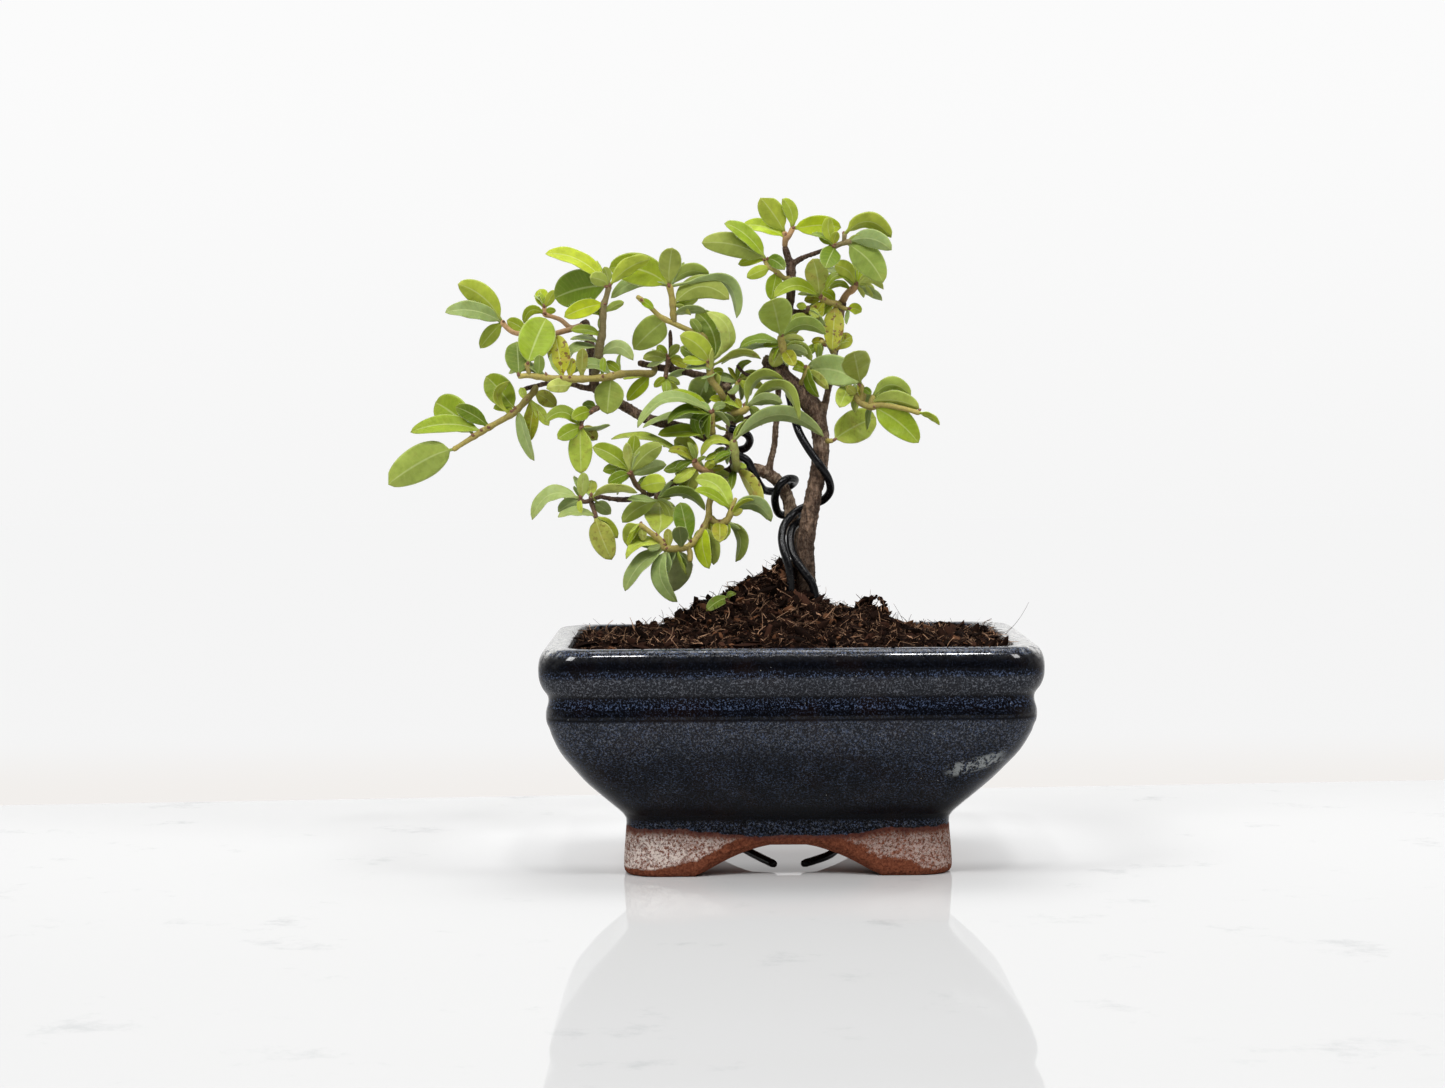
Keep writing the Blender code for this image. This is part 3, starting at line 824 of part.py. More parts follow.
def blade_skin(stations, thickness, margin=0.0, folded=True):
    """Points and faces of a thin closed blade, folded a little along its midrib."""
    points, faces = [], []
    lift = thickness / 2
    across = (1, 0, -1) if folded else (1, -1)
    for place, side, upper, half in stations[:-1]:
        half = max(half, PETIOLE / 2) + margin
        for level in (lift, -lift):
            for k in across:
                fold = upper * half * 0.22 * abs(k) if folded else Vector()
                points.append(place + side * half * k + fold + upper * level)
    place, _, upper, _ = stations[-1]
    points += [place + upper * lift * 0.8, place - upper * lift * 0.8]
    tip_top, tip_low = len(points) - 2, len(points) - 1
    n = len(across)
    for i in range(len(stations) - 2):
        a, b = 2 * n * i, 2 * n * (i + 1)
        for k in range(n - 1):
            faces += [(a + k, a + k + 1, b + k), (b + k, a + k + 1, b + k + 1)]
            faces += [(a + n + k, b + n + k, a + n + k + 1),
                      (b + n + k, b + n + k + 1, a + n + k + 1)]
        faces += [(a, b, a + n), (b, b + n, a + n)]
        faces += [(a + n - 1, a + 2 * n - 1, b + n - 1),
                  (b + n - 1, a + 2 * n - 1, b + 2 * n - 1)]
    a = 2 * n * (len(stations) - 2)
    for k in range(n - 1):
        faces += [(a + k, a + k + 1, tip_top), (a + n + k, tip_low, a + n + k + 1)]
        faces += [(k, n + k, k + 1), (n + k, n + k + 1, k + 1)]
    faces += [(a, tip_top, a + n), (tip_top, tip_low, a + n)]
    faces += [(a + n - 1, a + 2 * n - 1, tip_top), (tip_top, a + 2 * n - 1, tip_low)]
    return points, faces


class Space:
    """What is already in place: surfaces with their boxes and the node they belong to."""

    def __init__(self):
        self.taken = []

    def add(self, owner, points, faces):
        low = [min(p[i] for p in points) for i in range(3)]
        high = [max(p[i] for p in points) for i in range(3)]
        self.taken.append((owner, low, high, BVHTree.FromPolygons(points, faces)))

    def crossed(self, points, faces, skip):
        low = [min(p[i] for p in points) for i in range(3)]
        high = [max(p[i] for p in points) for i in range(3)]
        tree = None
        for owner, other_low, other_high, other in self.taken:
            if skip(owner) or any(low[i] > other_high[i] or high[i] < other_low[i]
                                  for i in range(3)):
                continue
            tree = tree or BVHTree.FromPolygons(points, faces)
            if tree.overlap(other):
                return owner
        return None


def place_leaves(space, stems_of):
    """Give every leaf of every spray a place where it crosses no other piece."""
    rng = random.Random(18)
    placed = {name: [] for name in SPRAYS}
    inner = Space()
    for name, (_, leaves) in SPRAYS.items():
        for leaf in leaves:
            plan = plan_leaf(leaf, stems_of[name], rng)
            large = plan["chord"] > LARGE_LEAF
            outline = OUTLINES["large" if large else "small"]
            fallback = None
            for shift in DEPTH_TRIES:
                stations = leaf_stations(plan, shift, outline)
                wide = blade_skin(stations, BLADE + 0.7, 0.35, large)
                if space.crossed(*wide, lambda owner: owner == name):
                    continue
                outer = blade_skin(stations[1:], BLADE, 0.0, large)
                if not inner.crossed(*outer, lambda owner: owner != name):
                    break
                fallback = fallback or stations
            else:
                stations = fallback
                if stations is None:
                    print("NO PLACE", name, leaf)
                    continue
            skin = blade_skin(stations, BLADE, 0.0, large)
            space.add(name, *skin)
            inner.add(name, *skin)
            placed[name].append(skin)
    return placed


def build_spray(name, stems, leaves, finish):
    parts = [tube(name, route, 5, finish) for route in stems]
    parts += [make_object(name, *skin, finish) for skin in leaves]
    spray = parts[0]
    spray.name = name
    apply_boolean(spray, parts[1:], "UNION")
    return spray


def skin_of(thing):
    return ([v.co / MM for v in thing.data.vertices],
            [tuple(p.vertices) for p in thing.data.polygons])


def build_fallen_leaf(soil, finish):
    """A leaf and its small partner, lowered until they lie just above the soil."""
    root = Vector((5.6, -11.0, 100.0))
    parts = []
    for tip, width in ((Vector((-1.6, -14.5, 97.5)), 4.2), (Vector((9.0, -10.0, 100.4)), 2.4)):
        ahead = (tip - root).normalized()
        side = ahead.cross(Vector((0, 0, 1))).normalized()
        upper = side.cross(ahead)
        base = root - ahead * 0.7 + upper * 0.1
        stations = [(base.lerp(tip, share), side, upper, half * width / 2)
                    for share, half in OUTLINES["small"] + [(1.0, 0.0)]]
        parts.append(stations)
    ground = surface_of(soil)
    drop = 0.0
    while drop < 40:
        lower = Vector((0, 0, -drop - 0.1))
        crossed = False
        for stations in parts:
            moved = [(place + lower, side, upper, half)
                     for place, side, upper, half in stations]
            skin = blade_skin(moved, BLADE + 2 * GAP, GAP)
            crossed = crossed or bool(BVHTree.FromPolygons(*skin).overlap(ground))
        if crossed:
            break
        drop += 0.1
    made = []
    for stations in parts:
        moved = [(place - Vector((0, 0, drop)), side, upper, half)
                 for place, side, upper, half in stations]
        made.append(make_object("fallen_leaf", *blade_skin(moved, BLADE), finish))
    apply_boolean(made[0], made[1:], "UNION")
    made[0].name = "fallen_leaf"
    return made[0]


def build_bonsai():
    clear_scene()
    bark = material("bark", (0.10, 0.062, 0.042), 0.85)
    green = material("leaf", (0.16, 0.25, 0.05), 0.55)
    black = material("wire_coating", (0.012, 0.012, 0.014), 0.4)
    glaze = material("glaze", (0.012, 0.014, 0.022), 0.15)
    earth = material("soil", (0.035, 0.018, 0.011), 0.95)
    plastic = material("screen_plastic", (0.02, 0.02, 0.02), 0.6)

    wood = build_wood(bark)
    build_pot(glaze)
    space = Space()
    space.add("wood", *skin_of(wood))
    for name in WIRES:
        space.add("wire", *skin_of(build_wire(name, black)))
    stems_of = seat_stems(surface_of(wood))
    for name, routes in stems_of.items():
        for route in routes:
            space.add(name, *tube_skin(route, 5))
    placed = place_leaves(space, stems_of)
    for name, leaves in placed.items():
        build_spray(name, stems_of[name], leaves, green)

    tube("anchor_wire", anchor_route(), 6, black)
    screen_places = {"drain_screen_left": POT_X - DRAIN_X,
                     "drain_screen_right": POT_X + DRAIN_X}
    cutters = [hole_for(branch_route("trunk_and_cut_limb"), 9, 100),
               hole_for(branch_route("left_trunk"), 8, 104)]
    cutters += [hole_for(wire_route(name), 6, 100) for name in WIRES]
    cutters.append(hole_for(anchor_route(), 6, 100))
    for name, x in screen_places.items():
        build_screen(name, x, plastic)
        cutters.append(screen_pocket(x))
    soil = build_soil(cutters, earth)
    build_fallen_leaf(soil, green)


build_bonsai()
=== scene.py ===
"""A small wired cotoneaster bonsai in a glazed pot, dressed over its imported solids.

Sizes are in millimetres, on the row frame: +Z up, the front towards -Y. The branches and
leaves are drawn as a front elevation in the plane y = 0, as the solids' source has them.
"""
import math
import random

import bmesh
import bpy
from mathutils import Matrix, Vector, noise
from mathutils.bvhtree import BVHTree
from mathutils.kdtree import KDTree


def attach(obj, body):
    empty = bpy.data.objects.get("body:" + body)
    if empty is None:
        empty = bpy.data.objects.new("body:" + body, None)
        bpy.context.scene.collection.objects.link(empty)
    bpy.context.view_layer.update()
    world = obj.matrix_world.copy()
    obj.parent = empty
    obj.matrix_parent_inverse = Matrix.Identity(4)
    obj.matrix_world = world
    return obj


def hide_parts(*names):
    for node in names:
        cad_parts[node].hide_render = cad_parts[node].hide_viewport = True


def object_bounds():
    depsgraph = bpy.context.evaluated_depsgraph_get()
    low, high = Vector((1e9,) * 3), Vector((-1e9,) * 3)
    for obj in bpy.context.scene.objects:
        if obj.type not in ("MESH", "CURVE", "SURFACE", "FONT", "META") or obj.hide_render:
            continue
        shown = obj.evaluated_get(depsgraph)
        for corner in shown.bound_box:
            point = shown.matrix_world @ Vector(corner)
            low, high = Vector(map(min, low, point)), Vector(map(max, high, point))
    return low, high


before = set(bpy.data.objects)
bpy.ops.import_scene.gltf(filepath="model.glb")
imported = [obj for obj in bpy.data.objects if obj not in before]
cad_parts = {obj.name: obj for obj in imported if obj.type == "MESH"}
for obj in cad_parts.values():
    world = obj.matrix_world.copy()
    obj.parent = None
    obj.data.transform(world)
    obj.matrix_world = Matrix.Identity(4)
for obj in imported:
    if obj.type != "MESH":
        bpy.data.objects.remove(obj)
solid_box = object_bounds()
MM = 0.001


# The camera stands 93 cm in front of the tree, a little above the pot's middle, and looks
# slightly down, with a small roll.

EYE = Vector((4.4, -930.0, 139.4))
PITCH, ROLL = math.radians(2.495), math.radians(-0.41)

camera = bpy.data.objects.new("camera", bpy.data.cameras.new("camera"))
camera.data.lens = 74.74
camera.data.sensor_width = 36.0
camera.data.clip_start, camera.data.clip_end = 0.02, 20.0
right = Vector((1, 0, 0))
ahead = Vector((0, math.cos(PITCH), -math.sin(PITCH)))
up = right.cross(ahead)
axes = (right * math.cos(ROLL) + up * math.sin(ROLL),
        up * math.cos(ROLL) - right * math.sin(ROLL), -ahead)
camera.matrix_world = (Matrix.Translation(EYE * MM)
                       @ Matrix(axes).transposed().to_4x4())
bpy.context.scene.collection.objects.link(camera)
bpy.context.scene.camera = camera
bpy.context.scene.view_settings.view_transform = "Standard"


# The studio: a pale polished table top that ends 17 cm behind the tree, in front of a
# white wall. Soft lamps hang high in front, with two narrow ones that draw the bright
# lines on the pot's rim, and the room is dim low down behind the camera.

TABLE_EDGE, TABLE_EDGE_SLOPE = 168.0, 0.082
FLOOR_REACH = 3000
# The middle of the painted light that lightens the pot's shadow on the table, in metres.
PAINTED_FILL_MIDDLE = (0.024, 0.030, 0.0)


class Channel:
    """One output of a material's node. Python's arithmetic on it adds Math nodes."""

    def __init__(self, finish, socket):
        self.finish, self.socket = finish, socket

    def math(self, operation, first, second):
        """A Math node on two channels or numbers."""
        return self.finish.node("Math", {"operation": operation}, {0: first, 1: second})

    def __add__(self, other):
        return self.math("ADD", self, other)

    def __radd__(self, other):
        return self.math("ADD", other, self)

    def __sub__(self, other):
        return self.math("SUBTRACT", self, other)

    def __rsub__(self, other):
        return self.math("SUBTRACT", other, self)

    def __mul__(self, other):
        return self.math("MULTIPLY", self, other)

    def __rmul__(self, other):
        return self.math("MULTIPLY", other, self)

    def __abs__(self):
        return self.math("ABSOLUTE", self, 0.0)

    def __mod__(self, other):
        return self.math("FLOORED_MODULO", self, other)

    def over(self, other):
        """The greater of the two."""
        return self.math("MAXIMUM", self, other)

    def between(self, low, high):
        """0 below low, 1 above high and a smooth step from one to the other."""
        return self.finish.node("MapRange", {"interpolation_type": "SMOOTHSTEP"},
                                {"Value": self, "From Min": low, "From Max": high})

    def band(self, low, full, fading, high):
        """1 from full to fading, with smooth steps up from low and down to high."""
        return self.between(low, full) * (1 - self.between(fading, high))


class Finish:
    """The nodes of a material, or of the room's light, with one method that adds a node."""

    def __init__(self, name, **constants):
        self.material = bpy.data.materials.new(name)
        self.use(self.material, "Principled BSDF")
        for socket, value in constants.items():
            self.set(socket.replace("_", " "), value)

    def use(self, owner, shader):
        """Work on the nodes of a material or a world, and set that one's sockets."""
        owner.use_nodes = True
        self.tree = owner.node_tree
        self.shader = self.tree.nodes[shader]

    def set(self, socket, value):
        self.join(self.shader.inputs[socket], value)

    def join(self, socket, value):
        """Link a channel to the socket, or put a number or a colour in it."""
        if isinstance(value, Channel):
            self.tree.links.new(value.socket, socket)
        elif isinstance(value, tuple) and socket.type == "RGBA":
            socket.default_value = (*value, 1.0)
        else:
            socket.default_value = value

    def node(self, kind, settings=None, inputs=None, output=0):
        """A node of any type: first its settings, then the values or links of its sockets."""
        made = self.tree.nodes.new("ShaderNode" + kind)
        for key, value in (settings or {}).items():
            setattr(made, key, value)
        for key, value in (inputs or {}).items():
            self.join(made.inputs[key], value)
        return Channel(self, made.outputs[output])

    def place(self):
        """The point's own place in the row frame, in metres."""
        return self.node("TexCoord", output="Object")

    def along(self, axis):
        """The point's place along one axis, in millimetres."""
        return self.node("SeparateXYZ", {}, {0: self.place()}, output=axis) * 1000

    def away_from(self, spot):
        """The point's distance from a place, both in metres."""
        return self.node("VectorMath", {"operation": "DISTANCE"},
                         {0: self.place(), 1: spot}, output="Value")

    def layer(self, name, part="Color"):
        """A value that the mesh stores at its points, or one part of it."""
        if part in ("Red", "Green", "Blue"):
            return self.node("SeparateColor", {}, {0: self.layer(name)}, output=part)
        return self.node("Attribute", {"attribute_name": name}, output=part)

    def grain(self, size, detail=2.0, roughness=0.5, place=None):
        """Noise from 0 to 1 with blotches of about that many millimetres."""
        return self.node("TexNoise", {}, {"Vector": place or self.place(),
                                          "Scale": 1 / (size * MM), "Detail": detail,
                                          "Roughness": roughness})

    def mix(self, share, first, second):
        """The first colour where share is 0 and the second where it is 1."""
        return self.node("Mix", {"data_type": "RGBA"}, {0: share, 6: first, 7: second},
                         output=2)

    def bump(self, height, depth, strength=1.0, under=None):
        """A relief of that depth in millimetres for a height from 0 to 1."""
        inputs = {"Height": height, "Distance": depth * MM, "Strength": strength}
        if under:
            inputs["Normal"] = under
        return self.node("Bump", {}, inputs)


def make_piece(name, points, faces, finish, sharp=None):
    """An object from points in millimetres, shaded smooth."""
    mesh = bpy.data.meshes.new(name)
    mesh.from_pydata([p * MM for p in points], [], faces)
    mesh.materials.append(finish.material)
    mesh.shade_smooth()
    if sharp:
        mesh.set_sharp_from_angle(angle=math.radians(sharp))
    piece = bpy.data.objects.new(name, mesh)
    bpy.context.scene.collection.objects.link(piece)
    return piece


table_top = Finish("polished_table_and_wall", Specular_IOR_Level=0.05,
                   Emission_Strength=1.0)
across, back = table_top.along("X"), table_top.along("Y")
# Far from the pot the table fades into the wall on all sides.
faded = table_top.away_from((0.0, 0.0, 0.0)).between(0.55, 1.1)
wall = (back - across * TABLE_EDGE_SLOPE - TABLE_EDGE).between(-0.4, 0.4).over(faded)
veins = table_top.grain(44, 7, 0.72).between(0.57, 0.72)
# Painted light: the stone is paler towards the back, to make up for the lamps' light falling off
# there.
stone_with_painted_light = table_top.mix(back.between(-330, 120), (0.568, 0.568, 0.568), (0.70, 0.70, 0.70))
stone_with_painted_light = table_top.mix(veins * 0.6, stone_with_painted_light, (0.43, 0.435, 0.445))
# Painted light: round the pot the stone is paler and glows faintly, to lighten the pot's shadow
# beside and behind it.
painted_fill = 1 - table_top.away_from(PAINTED_FILL_MIDDLE).between(0.060, 0.140)
painted_fill = painted_fill * back.between(-35, 0)
stone_with_painted_light = table_top.mix(painted_fill, stone_with_painted_light, (0.84, 0.84, 0.84))
painted_fill_glow = table_top.mix(painted_fill * painted_fill, (0.0, 0.0, 0.0), (0.13, 0.13, 0.13))
table_top.set("Base Color", table_top.mix(wall, stone_with_painted_light, (0.0, 0.0, 0.0)))
far = back.between(TABLE_EDGE, 380).over(faded)
paint = table_top.mix(far, (0.875, 0.850, 0.826), (0.895, 0.895, 0.895))
# Where it is no wall, the table emits the painted glow round the pot.
table_top.set("Emission Color", table_top.mix(wall, painted_fill_glow, paint))
table_top.set("Roughness", 0.02 + wall * 0.9)
corners = [Vector((x, y, 0)) * FLOOR_REACH for x, y in ((-1, -1), (1, -1), (1, 1), (-1, 1))]
floor = make_piece("table_and_wall", corners, [(0, 1, 2, 3)], table_top)


class RoomLight(Finish):
    """The world around the scene, which has a background instead of a surface."""

    def __init__(self, name):
        self.world = bpy.data.worlds.new(name)
        self.use(self.world, "Background")


room = RoomLight("white_room")
bpy.context.scene.world = room.world
way = room.node("TexCoord", output="Generated")
side_way = room.node("SeparateXYZ", {}, {0: way}, output="Y")
up_way = room.node("SeparateXYZ", {}, {0: way}, output="Z")
low_front = (-1 * side_way).between(0.15, 0.75) * (1 - up_way.between(0.30, 0.75))
low_back = side_way.between(0.2, 0.6) * (1 - up_way.between(0.25, 0.5))
light = room.mix(low_front, (0.46, 0.46, 0.46), (0.055, 0.053, 0.050))
light = room.mix(low_back, light, (0.85, 0.85, 0.85))
seen = room.mix(up_way.between(-0.10, 0.14), (0.905, 0.905, 0.905), (0.965, 0.965, 0.965))
looked_at = room.node("LightPath", output="Is Camera Ray")
room.set("Color", room.mix(looked_at, light, seen))


def add_lamp(name, place, aim, size, power, high=None):
    """A rectangular lamp; its place, aim and sides are in metres."""
    lamp = bpy.data.objects.new(name, bpy.data.lights.new(name, "AREA"))
    lamp.data.shape = "RECTANGLE"
    lamp.data.size, lamp.data.size_y = size, high or size
    lamp.data.energy = power
    lamp.location = place
    lamp.rotation_euler = (Vector(aim) - Vector(place)).to_track_quat("-Z", "Y").to_euler()
    bpy.context.scene.collection.objects.link(lamp)


add_lamp("lamp_left", (-0.75, -0.85, 1.25), (0.02, 0, 0.1), 0.45, 11.6)
add_lamp("lamp_right", (0.95, -0.75, 1.15), (0.02, 0, 0.1), 0.40, 6.7)
add_lamp("lamp_above", (0.1, 0.1, 1.2), (0.02, 0, 0.08), 0.7, 6.1)
add_lamp("strip_left", (-0.09, -0.80, 1.13), (-0.03, -0.05, 0.07), 0.07, 1.9, 0.12)
add_lamp("strip_right", (0.18, -0.80, 1.13), (0.07, -0.05, 0.07), 0.11, 3.3, 0.12)


# The pot: fired clay with four corner feet and arches between them, dipped in a dark
# blue-black glaze that breaks into blue specks and stops in a wavy line above the feet.

POT_X = 25.0
RIM_HALF_X, RIM_HALF_Y = 75.0, 58.0
RIM_RADIUS = 13.0
RIM_TOP = 70.5
# How far the rim's inner foot lies inside its widest line.
RIM_WIDTH = 9.0
FOOT_MIDDLE = 23.6
ARCH_HIGH, ARCH_HALF, SIDE_ARCH_HALF = 9.2, 27.5, 14.5
DRAIN_X, DRAIN_RADIUS = 24.0, 6.0
RUBBED_X, RUBBED_Z = 78.5, 35.4
GLAZE_RUN = 0.00008
# The pot's outline from the ground up, over the rim and down its inside:
# (inset from the rim's widest line, height).
POT_PROFILE = [
    (26.5, 0.0), (25.4, 1.1), (25.2, 4.5), (25.9, 15.2), (25.2, 17.8), (23.2, 20.1),
    (15.0, 28.2), (10.5, 33.5), (6.5, 38.7), (3.9, 43.8), (3.0, 46.4), (2.2, 48.6),
    (2.1, 51.4), (2.8, 54.2), (2.6, 56.2), (1.2, 58.4), (0.3, 60.8), (0.0, 63.4),
    (0.2, 66.6), (1.4, 69.4), (3.2, RIM_TOP), (6.8, RIM_TOP), (8.4, 69.7), (9.0, 68.0),
    (13.0, 46.0), (21.0, 32.0), (30.0, 21.5), (36.5, 16.5)]
# The stop of that outline where the pot's inside starts.
INSIDE_START = 22
CORNER_STEPS = 10
SIDE_STEPS = 26


def curve(before, start, end, after, t):
    """A place from start (t = 0) to end (t = 1) on a smooth curve through four places."""
    return (start * (2 * t ** 3 - 3 * t ** 2 + 1)
            + (end - before) * 0.5 * (t ** 3 - 2 * t ** 2 + t)
            + end * (3 * t ** 2 - 2 * t ** 3)
            + (after - start) * 0.5 * (t ** 3 - t ** 2))


def around(stops, i):
    """The four stops about stretch i of a line; at its ends the last one stands twice."""
    return [stops[min(max(i + k, 0), len(stops) - 1)] for k in (-1, 0, 1, 2)]


def smooth_line(points, pieces):
    """Points on a smooth curve through the given ones; each point is a tuple."""
    return [tuple(curve(*values, k / pieces) for values in zip(*around(points, i)))
            for i in range(len(points) - 1) for k in range(pieces)] + [points[-1]]


def clamped(value):
    """The value, kept from 0 to 1."""
    return min(1.0, max(0.0, value))


def middle_x(z):
    """The pot's middle at a height: its lower part sits a little to the left."""
    return POT_X - 0.5 - 0.9 * clamped((45 - z) / 17)


def pot_loop(inset, z):
    """The pot's outline in plan, a rounded rectangle, with points along its sides."""
    half_x, half_y = RIM_HALF_X - inset, RIM_HALF_Y - inset
    radius = max(RIM_RADIUS - inset * 0.12, 6.0)
    corners = []
    for quarter, (sign_x, sign_y) in enumerate([(1, 1), (-1, 1), (-1, -1), (1, -1)]):
        corners.append([Vector((
            middle_x(z) + sign_x * (half_x - radius) + radius * math.cos(turn),
            sign_y * (half_y - radius) + radius * math.sin(turn), z))
            for turn in ((quarter + k / CORNER_STEPS) * math.pi / 2
                         for k in range(CORNER_STEPS + 1))])
    loop = []
    for quarter in range(4):
        loop += corners[quarter]
        start, end = corners[quarter][-1], corners[(quarter + 1) % 4][0]
        loop += [start.lerp(end, k / SIDE_STEPS) for k in range(1, SIDE_STEPS)]
    return loop


def loft(loops):
    """Points and faces of a closed skin over loops of equal length, with flat ends."""
    count = len(loops[0])
    points = [place for loop in loops for place in loop]
    faces = []
    for i in range(len(loops) - 1):
        for k in range(count):
            a, b = i * count + k, i * count + (k + 1) % count
            faces.append((a, b, b + count, a + count))
    faces += [tuple(reversed(range(count))), tuple(range(len(points) - count, len(points)))]
    return points, faces


def face_out(piece):
    """Turn all the faces of a closed piece outwards."""
    shape = bmesh.new()
    shape.from_mesh(piece.data)
    bmesh.ops.recalc_face_normals(shape, faces=shape.faces)
    shape.to_mesh(piece.data)
    shape.free()


def apply_step(piece, step):
    """Give the piece the mesh that its modifier makes of it."""
    view = piece.evaluated_get(bpy.context.evaluated_depsgraph_get())
    result = bpy.data.meshes.new_from_object(view)
    piece.modifiers.remove(step)
    piece.data = result


def cut(piece, cutter):
    """Take the cutter's form out of the piece."""
    face_out(cutter)
    step = piece.modifiers.new("cut", "BOOLEAN")
    step.operation, step.solver, step.object = "DIFFERENCE", "EXACT", cutter
    apply_step(piece, step)
    bpy.data.objects.remove(cutter)


def arch_cutter(half_bottom, half_top, face, along_x):
    """A bar with the arch's outline, wider at the pot's faces so that the edge is bevelled."""
    rise = [(-0.2, -4.0), (0, 0), (0.1, 1.1), (0.33, 3.9), (0.56, 6.3), (0.82, 8.3),
            (1, ARCH_HIGH)]
    shoulder = smooth_line([(half_bottom + (half_top - half_bottom) * share, z)
                            for share, z in rise], 4)
    outline = shoulder + [(-a, z) for a, z in reversed(shoulder)]
    loops = []
    for reach, wider in ((-120, 2.4), (-face, 2.4), (1.1 - face, 1.0), (3.4 - face, 0),
                         (face - 3.4, 0), (face - 1.1, 1.0), (face, 2.4), (120, 2.4)):
        grown = [(a + math.copysign(wider, a), z + wider * 0.8 * clamped(z / 5))
                 for a, z in outline]
        loops.append([Vector((middle_x(0) + reach, a, z)) if along_x
                      else Vector((middle_x(0) + a, reach, z)) for a, z in grown])
    return make_piece("arch", *loft(loops), glaze)


glaze = Finish("speckled_glaze_over_clay", Specular_IOR_Level=0.07, Coat_Roughness=0.03)
wide, deep, height = glaze.along("X"), glaze.along("Y"), glaze.along("Z")
off_middle = abs(wide - FOOT_MIDDLE)
# The glaze ends lower over the arch than over the feet, in a line that wavers a little.
over_arch = 1 - off_middle.between(14, 34)
glaze_end = (14.6 - over_arch * 2.2 + (glaze.grain(11, 2) - 0.5) * 3.0
             + (glaze.grain(2.0, 3) - 0.5) * 1.6)
bare = 1 - (height - glaze_end).between(-0.25, 0.25)
# Fine steel-blue specks float in the black glaze: dense on the rim's top and lower edge,
# the bead and the foot band, thinner on the body and few on the rim's face.
specks = glaze.grain(0.58, 3, 0.85).between(0.54, 0.60)
grains = glaze.grain(0.66, 4, 0.9).between(0.53, 0.59)
patches = glaze.grain(9, 5, 0.65).between(0.38, 0.62)
waver = (glaze.grain(4, 5, 0.7) - 0.5) * 3.6
wavy = height + waver
lip = wavy.between(68.2, 69.4)
rim_foot = wavy.band(61.6, 62.4, 63.2, 64.6)
neck = height.between(56, 57.5) * (1 - wavy.between(61.3, 63.0))
bead = (height + waver * 0.5).between(52.3, 53.2) * (1 - height.between(55.4, 56.6))
bead_foot = height.band(49.6, 50.2, 52.0, 53.0)
body = height.band(20, 24, 48.6, 49.6)
foot_band = 1 - height.between(16.0, 17.6)
# Painted shade: the body's specks thin out towards its foot and the waist below it has none, as
# these faces look down at the shaded table by the pot.
blue = specks * (0.07 + lip * 0.95 + rim_foot * 0.85 + bead * 0.85 + bead_foot * 0.16
                 + body * (0.36 + patches * 0.34) * (0.50 + height.between(23, 36) * 0.50)
                 + foot_band * 0.85)
glassy = glaze.mix(glaze.grain(14, 3).between(0.45, 0.7), (0.0016, 0.0018, 0.0030),
                   (0.0042, 0.0022, 0.0022))
glassy = glaze.mix(blue, glassy, (0.075, 0.105, 0.185))
# Grey grains and veil: partly the glaze's own grey veil; on the neck and the upper body, which
# face down towards the pale table, they are also a painted reflection of it.
grey_veil_and_reflection = grains * (neck * 0.42 + lip * 0.35 + foot_band * 0.26
                 + body * (0.03 + patches * 0.09 + height.between(32, 46) * 0.26))
grey_veil_and_reflection = grey_veil_and_reflection + neck * 0.055 + height.between(34, 46) * body * 0.038
glassy = glaze.mix(grey_veil_and_reflection, glassy, (0.27, 0.29, 0.34))
# A rubbed patch on the right of the front, and lime on the rim's ends and inner faces.
rubbed = ((1 - abs(wide - RUBBED_X).between(5, 10))
          * (1 - abs(height - RUBBED_Z - (wide - RUBBED_X) * 0.28).between(1.2, 2.8))
          * (1 - deep.between(-40, -30)) * glaze.grain(2.2, 5, 0.8).between(0.47, 0.53))
ends = (off_middle + 0.9).between(60, 70)
inside = height.between(66.0, 70.2) * (1 - (0 - deep).between(50.5, 53.5))
lime = (glaze.grain(2.2, 5, 0.75).between(0.50, 0.62) * height.between(67.5, 70) * ends
        * 0.55)
crust = glaze.grain(1.8, 6, 0.85).between(0.41, 0.55) * ends * inside
chips = glaze.grain(0.9, 2).between(0.775, 0.785) * height.between(18, 22)
glassy = glaze.mix(rubbed * 0.75, glassy, (0.36, 0.38, 0.38))
glassy = glaze.mix(lime, glassy, (0.45, 0.47, 0.48))
glassy = glaze.mix(crust * 0.80, glassy, (0.74, 0.73, 0.71))
glassy = glaze.mix(chips * 0.8, glassy, (0.55, 0.55, 0.52))
# Bare clay: red-brown with a chalky bloom on its faces, rubbed off along lower edges,
# most of all on the right foot, and burnt darker where the glaze ends.
front_arch = ARCH_HIGH - off_middle * off_middle * (ARCH_HIGH / ARCH_HALF ** 2)
side_arch = ARCH_HIGH - deep * deep * (ARCH_HIGH / SIDE_ARCH_HALF ** 2)
arch_line = front_arch.over(side_arch).over(0.0)
right_foot = wide.between(36, 48)
worn_edge = (2.8 + off_middle.between(4, 14) * 2.0 - off_middle.between(28, 42) * 2.4
             + right_foot * (1 - off_middle.between(36, 46)) * 1.6
             + (glaze.grain(4.5, 5, 0.75) - 0.5) * (3.0 + right_foot * 6.0))
chafed = (height - arch_line - worn_edge).between(-0.4, 0.4)
bloom = glaze.grain(0.85, 5, 0.85).between(0.42, 0.54 + right_foot * 0.03)
bloom = bloom * (0.50 + glaze.grain(3.4, 5, 0.8).between(0.42, 0.55) * 0.50)
bloom = bloom * chafed * (1 - (height - glaze_end).between(-3.0, -0.8) * 0.85)
bloom = bloom * (1 - right_foot * 0.46) * (1 - over_arch * 0.45)
clay = glaze.mix(glaze.grain(0.8, 5, 0.8).between(0.3, 0.7), (0.055, 0.016, 0.009),
                 (0.290, 0.092, 0.048))
